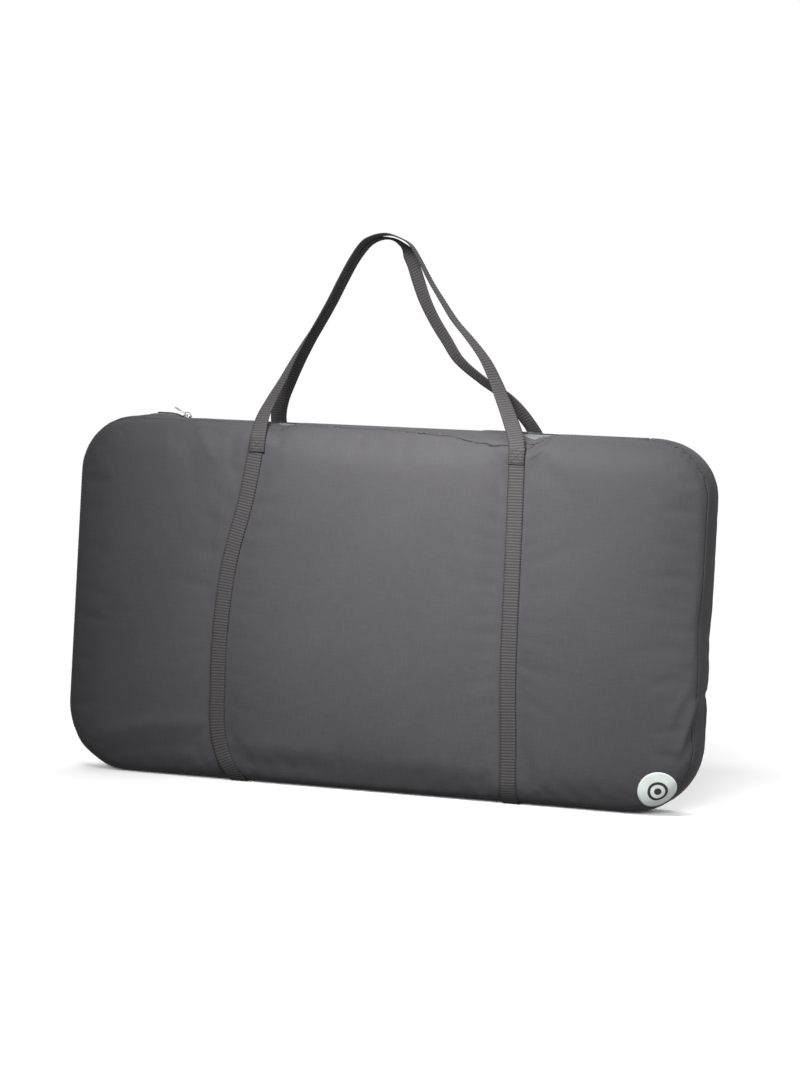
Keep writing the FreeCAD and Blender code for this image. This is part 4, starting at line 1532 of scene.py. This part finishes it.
    def panel(self, source: bmesh.types.BMesh, side: Side) -> None:
        """One large panel, cut from the shell at its seam.

        Args:
            source: the whole shell.
            side: the front or the back.
        """
        shape = source.copy()
        if side is Side.FRONT:
            self.shifted(shape, 1)
        self.cut(shape, (0, side.value * OUTLINE.seam, 0), (0, -side.value, 0))
        if side is Side.FRONT:
            self.shifted(shape, -1)
        self.tuck(shape)
        word = side.word
        made = Piece(f"{word}_panel_cloth", SHELL_CLOTH, "cloth", (f"{word}_panel",)).make(shape)
        thicken(made, self.cloth)

    def band(self, source: bmesh.types.BMesh) -> None:
        """The gusset round the sides and base, and the two strips along the zip.

        Args:
            source: the whole shell.
        """
        shape = source.copy()
        self.shifted(shape, 1)
        for side in Side:
            self.cut(shape, (0, side.value * OUTLINE.seam, 0), (0, side.value, 0))
        self.shifted(shape, -1)
        gusset, strips = shape.copy(), {side: shape.copy() for side in Side}
        shape.free()

        def on_top(spot: Vector) -> bool:
            """Whether a point is on the bag's top."""
            return spot.z > 0.5

        for across in (-1, 1):
            self.cut(gusset, (across * self.zip_half, 0, 0), (1, 0, 0), on_top, clear=False)
        gone = [f for f in gusset.faces if on_top(f.calc_center_median())
                and abs(f.calc_center_median().x) < self.zip_half]
        bmesh.ops.delete(gusset, geom=gone, context="FACES")
        self.tuck(gusset)
        made = Piece("side_and_base_gusset_cloth", GUSSET_CLOTH, "cloth",
                     ("side_and_base_gusset",)).make(gusset)
        thicken(made, self.cloth)
        for side, strip in strips.items():
            self.cut(strip, (0, 0, 0.5), (0, 0, -1))
            self.cut(strip, (self.zip_half, 0, 0), (1, 0, 0))
            self.cut(strip, (-self.zip_half, 0, 0), (-1, 0, 0))
            self.cut(strip, (0, side.value * self.window, 0), (0, -side.value, 0))
            self.tuck(strip)
            word = side.word
            made = Piece(f"top_strip_{word}_cloth", GUSSET_CLOTH, "cloth",
                         (f"top_strip_{word}",)).make(strip)
            thicken(made, self.cloth)

    def on_skin(self, point: Vector, lift: float = 0.0) -> Vector:
        """The point of the cloth nearest to one given, lifted off it."""
        spot, normal, _, _ = self.skin.find_nearest(point)
        return spot + normal * lift


@dataclass
class Seams:
    """The stitched seams between the panels and the gusset, and their inner binding."""

    cloth: BagCloth
    welt: float = 0.0008
    sewn: float = 0.0034
    binding_in: float = 0.0040

    def ring(self, side: Side) -> list[Vector]:
        """The seam's line on the cloth.

        Args:
            side: the front or the back.

        Returns:
            The line's points.
        """
        ring = OUTLINE.seam_ring(side)
        for point in ring:
            if side is Side.FRONT:
                point.y -= self.cloth.seam_shift(point)
        return [self.cloth.on_skin(p) for p in ring]

    def build(self) -> None:
        """A rolled welt in each seam, a row of stitches beside it and a bound inner edge."""
        for side in Side:
            ring = self.ring(side)
            welt = [p - OUTLINE.rim_normal(p) * 0.0010 for p in ring[:-1]]
            shape = bmesh.new()
            places = stations_along([*welt, welt[0]],
                                    lambda i, along: OUTLINE.rim_normal(ring[i % len(welt)]))
            sweep(shape, disc_section(self.welt, 6), places[:-1], 0.004, ring=True)
            Piece(f"{side.word}_seam_welt", WELT_CLOTH, "binding").make(shape)
            rows = bmesh.new()
            for away in (-self.sewn, self.sewn):
                line = []
                for point in ring:
                    moved = point + Vector((0, side.value * away, 0))
                    line.append(self.cloth.on_skin(moved, 0.00005))
                stitches(rows, line, OUTLINE.rim_normal, pitch=0.0052, length=0.0032,
                         thread=0.0005)
            Piece(f"{side.word}_seam_stitching", TONAL_THREAD, "thread").make(rows)
            self.inner_binding(side)

    def inner_binding(self, side: Side) -> None:
        """The tape that covers the seam's raw edge inside the bag.

        Args:
            side: the front or the back.
        """
        shape = bmesh.new()
        ring = [p - OUTLINE.rim_normal(p) * self.binding_in for p in self.ring(side)[:-1]]
        places = stations_along([*ring, ring[0]],
                                lambda i, along: OUTLINE.rim_normal(ring[i % len(ring)]))
        sweep(shape, rounded_section(0.0115, 0.0011, 4), places[:-1], 0.004, ring=True)
        Piece(f"{side.word}_inner_binding_tape", BINDING_TAPE, "binding",
              (f"{side.word}_seam_binding",)).make(shape)


# ---------------------------------------------------------------- the zip


@dataclass
class Zip:
    """The coil zip along the top, its slider and its pull."""

    half: float = 0.390
    pitch: float = 0.0013
    coil_out: float = 0.0021
    coil_up: float = 0.5576
    tape_half: float = 0.3997
    hump_zip: float = 0.0078
    slider_up: float = 0.0014
    tape_in: float = 0.0008
    tape_out: float = 0.0178
    tape_up: float = 0.5559
    sewn_half: float = 0.397
    sewn_out: float = 0.0128
    sewn_up: float = 0.5585

    def coil(self, side: Side) -> None:
        """One side of the coil, a turn repeated along the tape.

        Args:
            side: the front or the back.
        """
        shape = bmesh.new()
        corners = 8
        places = []
        for i in range(corners + 1):
            turn = 2 * math.pi * i / corners
            spot = Vector((self.pitch * i / corners, 0.00115 * math.cos(turn),
                           0.00085 * math.sin(turn)))
            out = Vector((0.0, math.cos(turn), math.sin(turn)))
            along = Vector((self.pitch / (2 * math.pi), -0.00115 * math.sin(turn),
                            0.00085 * math.cos(turn))).normalized()
            places.append(station(spot, out.cross(along).normalized(), out, along))
        sweep(shape, disc_section(0.00028, 4), places, self.pitch / corners)
        mesh = bpy.data.meshes.new("coil_turn")
        shape.to_mesh(mesh)
        shape.free()
        turn = bpy.data.objects.new("coil_turn", mesh)
        bpy.context.scene.collection.objects.link(turn)
        row = turn.modifiers.new("row", "ARRAY")
        row.use_relative_offset = False
        row.use_constant_offset = True
        row.constant_offset_displace = (self.pitch, 0, 0)
        row.count = int(2 * self.half / self.pitch)
        grown = bmesh.new()
        grown.from_mesh(evaluated(turn))
        bpy.data.objects.remove(turn)
        bmesh.ops.translate(grown, verts=grown.verts,
                            vec=(-self.half, side.value * self.coil_out, self.coil_up))
        core = rounded_block(grown, Vector((-self.half, side.value * self.coil_out - 0.0006,
                                            self.coil_up - 0.0004)),
                             Vector((self.half, side.value * self.coil_out + 0.0006,
                                     self.coil_up + 0.0004)), 0.0002, 1)
        long = {e for v in core for e in v.link_edges if abs(e.verts[0].co.x
                                                            - e.verts[1].co.x) > self.half}
        bmesh.ops.subdivide_edges(grown, edges=list(long), cuts=160)
        self.swell(grown)
        Piece(f"zip_coil_{side.word}_turns", COIL, "zip_coil",
              (f"zip_coil_{side.word}",)).make(grown)

    def swell(self, shape: bmesh.types.BMesh) -> None:
        """Lifts the zip over the hump in the bag's top, and lets it sink into the hollows.

        Args:
            shape: a part of the zip.
        """
        for vert in shape.verts:
            vert.co.z -= self.cloth.hollow(vert.co)
            vert.co.z += self.hump_zip * hump(vert.co.x) * max(
                0.0, 1 - (abs(vert.co.y) / 0.018) ** 2)

    def tape(self, side: Side) -> None:
        """One woven tape, and the row of stitches on the cloth beside it.

        Args:
            side: the front or the back.
        """
        shape = bmesh.new()
        low, high = self.tape_in, self.tape_out
        count = 200
        points = [Vector((-self.tape_half + 2 * self.tape_half * i / count,
                          side.value * (low + high) / 2, self.tape_up)) for i in range(count + 1)]
        places = stations_along(points, lambda i, along: Vector((0, 0, 1)), 0.04)
        sweep(shape, rounded_section(high - low, 0.0010, 8), places,
              2 * self.tape_half / count)
        self.swell(shape)
        Piece(f"zip_tape_{side.word}_weave", ZIP_TAPE, "zip_tape",
              (f"zip_tape_{side.word}",)).make(shape)
        rows = bmesh.new()
        line = [Vector((-self.sewn_half + 2 * self.sewn_half * i / 100,
                        side.value * self.sewn_out, self.sewn_up)) for i in range(101)]
        self.topstitch(rows, line)
        Piece(f"top_strip_{side.word}_topstitching", THREAD, "thread").make(rows)

    def topstitch(self, shape: bmesh.types.BMesh, line: list[Vector]) -> None:
        """Stitches on the cloth beside the zip."""
        stitches(shape, [self.cloth.on_skin(p, 0.0001) for p in line],
                 lambda p: Vector((0, 0, 1)), pitch=0.0036)

    def stops(self) -> None:
        """A clamped stop at each end of the coil."""
        shape = bmesh.new()
        for across in (-1, 1):
            low, high = sorted((across * 0.3903, across * 0.3953))
            rounded_block(shape, Vector((low, -0.0034, 0.5564)), Vector((high, 0.0034, 0.5588)),
                          0.0006)
        Piece("zip_stop_clamps", NICKEL, "zip_metal", ("zip_end_stops",)).make(shape)

    def slider(self) -> None:
        """Two shaped plates joined at the nose, with a bridge for the pull."""
        shape = bmesh.new()
        for low, high in ((0.5541, 0.5553), (0.5592, 0.5606)):
            grown = rounded_block(shape, Vector((-0.3465, -0.005, low)),
                                  Vector((-0.3335, 0.005, high)), 0.0005)
            for vert in grown:
                nose = min(1.0, max(0.0, (vert.co.x + 0.3405) / 0.007))
                vert.co.y *= 1 - 0.32 * nose * nose
        rounded_block(shape, Vector((-0.3378, -0.0012, 0.5550)), Vector((-0.3340, 0.0012, 0.5596)),
                      0.0004, 2)
        bridge = SmoothLine(((-0.3455, 0, 0.5600), (-0.3450, 0, 0.5630), (-0.3432, 0, 0.5652),
                             (-0.3400, 0, 0.5656), (-0.3366, 0, 0.5640), (-0.3348, 0, 0.5602)))
        points = bridge.spread(0.0008)
        places = stations_along(points, lambda i, along: Vector((0, 1, 0)).cross(along) * -1)
        sweep(shape, rounded_section(0.0030, 0.0012, 2), places, 0.0008)
        bmesh.ops.translate(shape, verts=shape.verts, vec=(0, 0, self.slider_up))
        Piece("zip_slider_body", NICKEL, "zip_metal", ("zip_slider",), "slider").make(shape)

    def pull(self) -> None:
        """A looped tab that stands off the bridge."""
        shape = bmesh.new()
        lean = math.radians(28)
        along = Vector((-math.cos(lean), 0.0, math.sin(lean)))
        up = Vector((math.sin(lean), 0.0, math.cos(lean)))
        root = Vector((-0.3402, 0.0, 0.5613))
        eye = []
        for i in range(24):
            turn = 2 * math.pi * i / 24
            eye.append(root + along * (0.0022 - 0.0026 * math.cos(turn))
                       + Vector((0, 0.0026 * math.sin(turn), 0)))
        places = stations_along([*eye, eye[0], eye[1]], lambda i, _: up)
        sweep(shape, disc_section(0.0006, 6), places[:-2], 0.0008, ring=True)
        place = Matrix.Translation(root + along * 0.0142)
        place @= Matrix((along, Vector((0, 1, 0)), up)).transposed().to_4x4()
        grown = bmesh.ops.create_cube(shape, size=1.0,
                                      matrix=place @ Matrix.Diagonal((0.0195, 0.007, 0.0013, 1)))
        edges = {e for v in grown["verts"] for e in v.link_edges}
        bmesh.ops.bevel(shape, geom=list(edges), offset=0.0005, segments=2, profile=0.5,
                        affect="EDGES", material=-1)
        for step in (0.0085, 0.0115, 0.0145, 0.0175, 0.0205):
            ridge = place @ Matrix.Translation((step - 0.0142, 0, 0.0006))
            bmesh.ops.create_icosphere(shape, subdivisions=2, radius=1.0, matrix=ridge
                                       @ Matrix.Diagonal((0.0006, 0.0026, 0.0005, 1)))
        bmesh.ops.translate(shape, verts=shape.verts, vec=(0, 0, self.slider_up))
        Piece("zip_pull_loop", NICKEL, "zip_metal", ("zip_pull_tab",), "pull").make(shape)

    def build(self, cloth: BagCloth) -> None:
        """The whole zip.

        Args:
            cloth: the bag's cloth.
        """
        self.cloth = cloth
        for side in Side:
            self.coil(side)
            self.tape(side)
        self.stops()
        self.slider()
        self.pull()


# ---------------------------------------------------------------- the badge


@dataclass
class Badge:
    """The round soft badge at the bag's lower right corner."""

    cloth: BagCloth
    centre: Colour = (0.451, -0.070, 0.0345)
    radius: float = 0.030
    thick: float = 0.0008
    spokes: int = 48
    rings: int = 12

    def build(self) -> None:
        """A disc spun from a line, then laid on the cloth a little at a time."""
        shape = bmesh.new()
        line = [shape.verts.new((self.radius * i / self.rings, 0, 0))
                for i in range(self.rings + 1)]
        edges = [shape.edges.new(pair) for pair in zip(line, line[1:])]
        bmesh.ops.spin(shape, geom=[*line, *edges], cent=(0, 0, 0), axis=(0, 0, 1),
                       angle=2 * math.pi, steps=self.spokes, use_merge=True)
        bmesh.ops.remove_doubles(shape, verts=shape.verts, dist=1e-6)
        along = shape.verts.layers.float.new("along")
        across = shape.verts.layers.float.new("across")
        start, normal, _, _ = self.cloth.skin.find_nearest(Vector(self.centre))
        right = (Vector((1, 0, 0)) - normal * normal.x).normalized()
        up = normal.cross(right) * -1
        for vert in shape.verts:
            reach, flat = vert.co.length, vert.co.copy()
            vert[along], vert[across] = flat.x, flat.y
            heading = (right * flat.x + up * flat.y)
            heading = heading.normalized() if reach > 1e-6 else right
            spot, out, steps = start.copy(), normal.copy(), max(1, round(reach / 0.002))
            for _ in range(steps):
                heading = (heading - out * heading.dot(out)).normalized()
                spot, out, _, _ = self.cloth.skin.find_nearest(spot + heading * (reach / steps))
            vert.co = spot + out * 0.0001
        for _ in range(2):
            bmesh.ops.smooth_vert(shape, verts=[v for v in shape.verts if not v.is_boundary],
                                  factor=0.5, use_axis_x=True, use_axis_y=True,
                                  use_axis_z=True)
        bmesh.ops.recalc_face_normals(shape, faces=shape.faces)
        middle = sum((f.normal.y for f in shape.faces), 0.0)
        if middle > 0:
            bmesh.ops.reverse_faces(shape, faces=shape.faces)
        made = Piece("round_badge", PATCH, "patch", ("round_patch",)).make(shape)
        thicken(made, self.thick, offset=1.0)


# ---------------------------------------------------------------- what is packed inside


@dataclass
class Contents:
    """The playpen folded inside: mattress, netting, floor sheet and the dressed frame."""

    puff: float = 0.003
    inset: float = 0.003
    channels: tuple[float, ...] = (-0.227, 0.0, 0.227)

    def mattress(self, filler: BagCloth) -> None:
        """A padded mattress with sewn folding lines.

        Args:
            filler: the cloth that does the filling.
        """
        low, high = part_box("mattress")
        shape = bmesh.new()
        edge = Vector((self.inset,) * 3)
        rounded_block(shape, low + edge, high - edge, 0.0115, 3)
        mesh = bpy.data.meshes.new("mattress_blank")
        shape.to_mesh(mesh)
        shape.free()
        made = bpy.data.objects.new("mattress_blank", mesh)
        bpy.context.scene.collection.objects.link(made)
        net = made.modifiers.new("net", "REMESH")
        net.mode = "VOXEL"
        net.voxel_size = 0.011
        made.data = evaluated(made)
        made.modifiers.clear()

        def held(point: Vector) -> float:
            """The sewn folding lines hold the pad."""
            away = min(abs(point.x - line) for line in self.channels)
            return max(0.0, 1 - away / 0.012)

        filler.fill(made, held, self.puff, -0.002)
        finer = made.modifiers.new("finer", "SUBSURF")
        finer.levels = finer.render_levels = 1
        shape = bmesh.new()
        shape.from_mesh(evaluated(made))
        bpy.data.objects.remove(made)
        shape.normal_update()
        for vert in shape.verts:
            away = min(abs(vert.co.x - line) for line in self.channels)
            vert.co -= vert.normal * (0.004 * math.exp(-(away / 0.006) ** 2))
        piece = Piece("mattress_pad", MATTRESS_CLOTH, "mattress_cloth", ("mattress",)).make(shape)

    def netting(self) -> None:
        """The mesh walls, folded to and fro in a flat pile."""
        low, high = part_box("mesh_walls_folded")
        layers, turn = 7, 0.004
        gap = (high.y - low.y - 2 * turn) / (layers - 1)
        route = []
        for layer in range(layers):
            y = low.y + turn + gap * layer
            ends = (high.z - 0.012, low.z + 0.012) if layer % 2 else (low.z + 0.012, high.z - 0.012)
            for i in range(25):
                share = i / 24
                sag = 0.0008 * math.sin(share * math.pi * 3 + layer * 1.7)
                route.append(Vector((0.0, y + sag, ends[0] + (ends[1] - ends[0]) * share)))
            if layer < layers - 1:
                way = 1 if ends[1] > ends[0] else -1
                for i in range(1, 6):
                    bend = math.pi * i / 6
                    route.append(Vector((0.0, y + gap / 2 - gap / 2 * math.cos(bend),
                                         ends[1] + way * gap / 2 * math.sin(bend))))
        points = evenly(route, 0.006)
        shape = bmesh.new()
        along = shape.verts.layers.float.new("along")
        across = shape.verts.layers.float.new("across")
        first = shape.verts.new(Vector((low.x + 0.004, 0, 0)) + points[0])
        second = shape.verts.new(Vector((high.x - 0.004, 0, 0)) + points[0])
        edge = [shape.edges.new((first, second))]
        bmesh.ops.subdivide_edges(shape, edges=edge, cuts=40)
        edge = list(shape.edges)
        for i in range(1, len(points)):
            grown = bmesh.ops.extrude_edge_only(shape, edges=edge)["geom"]
            verts = [e for e in grown if isinstance(e, bmesh.types.BMVert)]
            edge = [e for e in grown if isinstance(e, bmesh.types.BMEdge)]
            bmesh.ops.translate(shape, verts=verts, vec=points[i] - points[i - 1])
            for vert in verts:
                vert[along] = i * 0.006
        for vert in shape.verts:
            vert[across] = vert.co.x
        bmesh.ops.recalc_face_normals(shape, faces=shape.faces)
        made = Piece("folded_netting", NETTING, "mesh", ("mesh_walls_folded",)).make(shape)
        thicken(made, 0.0008, 0.0)

    def floor_sheet(self) -> None:
        """The playpen's floor cloth, laid flat at the back."""
        low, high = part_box("floor_sheet")
        middle = (low.y + high.y) / 2
        shape = bmesh.new()
        place = Matrix.Translation(((low.x + high.x) / 2, middle, (low.z + high.z) / 2))
        place @= Matrix.Rotation(math.pi / 2, 4, "X")
        place @= Matrix.Diagonal(((high.x - low.x) / 2 - 0.001, (high.z - low.z) / 2 - 0.001, 1, 1))
        bmesh.ops.create_grid(shape, x_segments=76, y_segments=42, size=1.0, matrix=place)
        feet = [(sx * x, z) for sx in (-1, 1) for x, z in ((0.457, 0.128), (0.457, 0.413))]
        gone = [f for f in shape.faces
                if any(abs(f.calc_center_median().x - x) < 0.018
                       and abs(f.calc_center_median().z - z) < 0.018 for x, z in feet)]
        bmesh.ops.delete(shape, geom=gone, context="FACES")
        for vert in shape.verts:
            vert.co.y += 0.00025 * math.sin(vert.co.x * 31) * math.sin(vert.co.z * 23)
        made = Piece("floor_cloth", SHEET_CLOTH, "sheet", ("floor_sheet",)).make(shape)
        thicken(made, 0.0010, 0.0)

    def dress_frame(self) -> None:
        """Gives each of the frame's own parts its finish."""
        finishes = (("top_rail_joiners", JOINER), ("base_frame_joiners", JOINER),
                    ("top_rail", TUBE), ("base_frame", TUBE), ("post_hinge_pins", PIN_STEEL),
                    ("post_", TUBE), ("knee_lock", MOULDING), ("base_fork", MOULDING),
                    ("rail_fork", MOULDING), ("mattress_board", BOARD),
                    ("frame_feet", FOOT_RUBBER))
        for name, part in sorted(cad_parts.items()):
            found = next((finish for start, finish in finishes if name.startswith(start)), None)
            if found and not part.hide_render:
                part.data.materials.clear()
                part.data.materials.append(found.material())
                LOG.info("%s: %s", name, found.name)

    def build(self, filler: BagCloth) -> None:
        """Everything inside the bag.

        Args:
            filler: the cloth that does the filling.
        """
        self.mattress(filler)
        self.netting()
        self.floor_sheet()
        self.dress_frame()


# ---------------------------------------------------------------- the studio


@dataclass
class StudioSet:
    """The pale floor, the lights and the camera."""

    camera_at: Colour = (1.0443, -3.7047, 0.4264)
    looking: Colour = (-0.2672282, 0.96359376, -0.00872654)
    roll: float = math.radians(3.08)
    lens: float = 84.1121495
    sensor: float = 36.0
    floor_level: float = -0.0004
    panel_power: float = 5.0
    panel_spread: float = 54.0
    ambient: float = 0.22
    fill_power: float = 2.6

    def surround(self, scene: bpy.types.Scene) -> None:
        """A white room that lights the object only softly.

        Args:
            scene: the scene.
        """
        world = bpy.data.worlds.new("studio")
        world.use_nodes = True
        nodes, links = world.node_tree.nodes, world.node_tree.links
        seen = nodes.new("ShaderNodeLightPath")
        share = nodes.new("ShaderNodeMapRange")
        share.inputs["To Min"].default_value = self.ambient
        links.new(seen.outputs["Is Camera Ray"], share.inputs["Value"])
        links.new(share.outputs["Result"], nodes["Background"].inputs["Strength"])
        nodes["Background"].inputs["Color"].default_value = (1, 1, 1, 1)
        scene.world = world

    def sky(self, name: str, falling: Colour, strength: float,
            softness: float) -> bpy.types.Object:
        """A broad even light from one direction.

        Args:
            name: the light's name.
            falling: the way it falls.
            strength: its energy.
            softness: how wide it looks, in degrees.

        Returns:
            The light's object.
        """
        lamp = bpy.data.lights.new(name, "SUN")
        lamp.energy, lamp.angle = strength, math.radians(softness)
        made = bpy.data.objects.new(name, lamp)
        made.rotation_euler = Vector(falling).to_track_quat("-Z", "Y").to_euler()
        bpy.context.scene.collection.objects.link(made)
        return made

    def light(self, name: str, spot: Colour, target: Colour, size: float, power: float,
              spread: float = 180.0) -> None:
        """A soft square light aimed at a point.

        Args:
            name: the light's name.
            spot: where it is.
            target: what it aims at.
            size: its width.
            power: its power in watts.
            spread: how far its beam opens, in degrees.
        """
        lamp = bpy.data.lights.new(name, "AREA")
        lamp.size, lamp.energy = size, power
        lamp.spread = math.radians(spread)
        made = bpy.data.objects.new(name, lamp)
        made.location = spot
        made.rotation_euler = (Vector(target) - Vector(spot)).to_track_quat("-Z", "Y").to_euler()
        bpy.context.scene.collection.objects.link(made)

    def build(self) -> None:
        """Floor, world, lights and camera."""
        scene = bpy.context.scene
        shape = bmesh.new()
        bmesh.ops.create_grid(shape, x_segments=8, y_segments=8, size=14.0,
                              matrix=Matrix.Translation((0, 0, self.floor_level)))
        mesh = bpy.data.meshes.new("studio_floor")
        shape.to_mesh(mesh)
        shape.free()
        floor = bpy.data.objects.new("studio_floor", mesh)
        mesh.materials.append(FLOOR.material())
        scene.collection.objects.link(floor)
        floor.visible_diffuse = floor.visible_glossy = False
        self.surround(scene)
        scene.view_settings.view_transform = "Standard"
        self.light("soft_panel", (0.02, -1.25, 1.28), (0.09, 0.0, 0.47), 0.5, self.panel_power,
                   spread=self.panel_spread)
        self.light("side_fill", (1.9, -1.5, 0.9), (0.49, 0.0, 0.16), 0.7, self.fill_power,
                   spread=60.0)
        self.sky("overhead", (0.06, -0.45, -1.0), 1.2, 60.0)
        only = bpy.data.collections.new("floor_only")
        only.objects.link(floor)
        for name, falling, strength, softness in (
                ("floor_overhead", (0.06, -0.45, -1.0), 0.65, 60.0),
                ("floor_wash", (0.0, 1.0, -0.28), 4.6, 22.0)):
            lamp = self.sky(name, falling, strength, softness)
            lamp.light_linking.receiver_collection = only
        camera = bpy.data.cameras.new("camera")
        camera.lens, camera.sensor_width = self.lens, self.sensor
        camera.clip_start, camera.clip_end = 0.05, 60
        made = bpy.data.objects.new("camera", camera)
        ahead = Vector(self.looking).normalized()
        right = ahead.cross(Vector((0, 0, 1))).normalized()
        up = right.cross(ahead)
        turned_right = right * math.cos(self.roll) + up * math.sin(self.roll)
        turned_up = -right * math.sin(self.roll) + up * math.cos(self.roll)
        axes = Matrix((turned_right, turned_up, -ahead)).transposed().to_4x4()
        made.matrix_world = Matrix.Translation(self.camera_at) @ axes
        scene.collection.objects.link(made)
        scene.camera = made


def main() -> None:
    """Builds every sub-assembly in order."""
    logging.basicConfig(level=logging.INFO, format="%(name)s %(message)s")
    StudioSet().build()
    cloth = BagCloth()
    cloth.build()
    Seams(cloth).build()
    Zip().build(cloth)
    Straps().build()
    Handles().build()
    Badge(cloth).build()
    Contents().build(cloth)


if __name__ == "__main__":
    main()
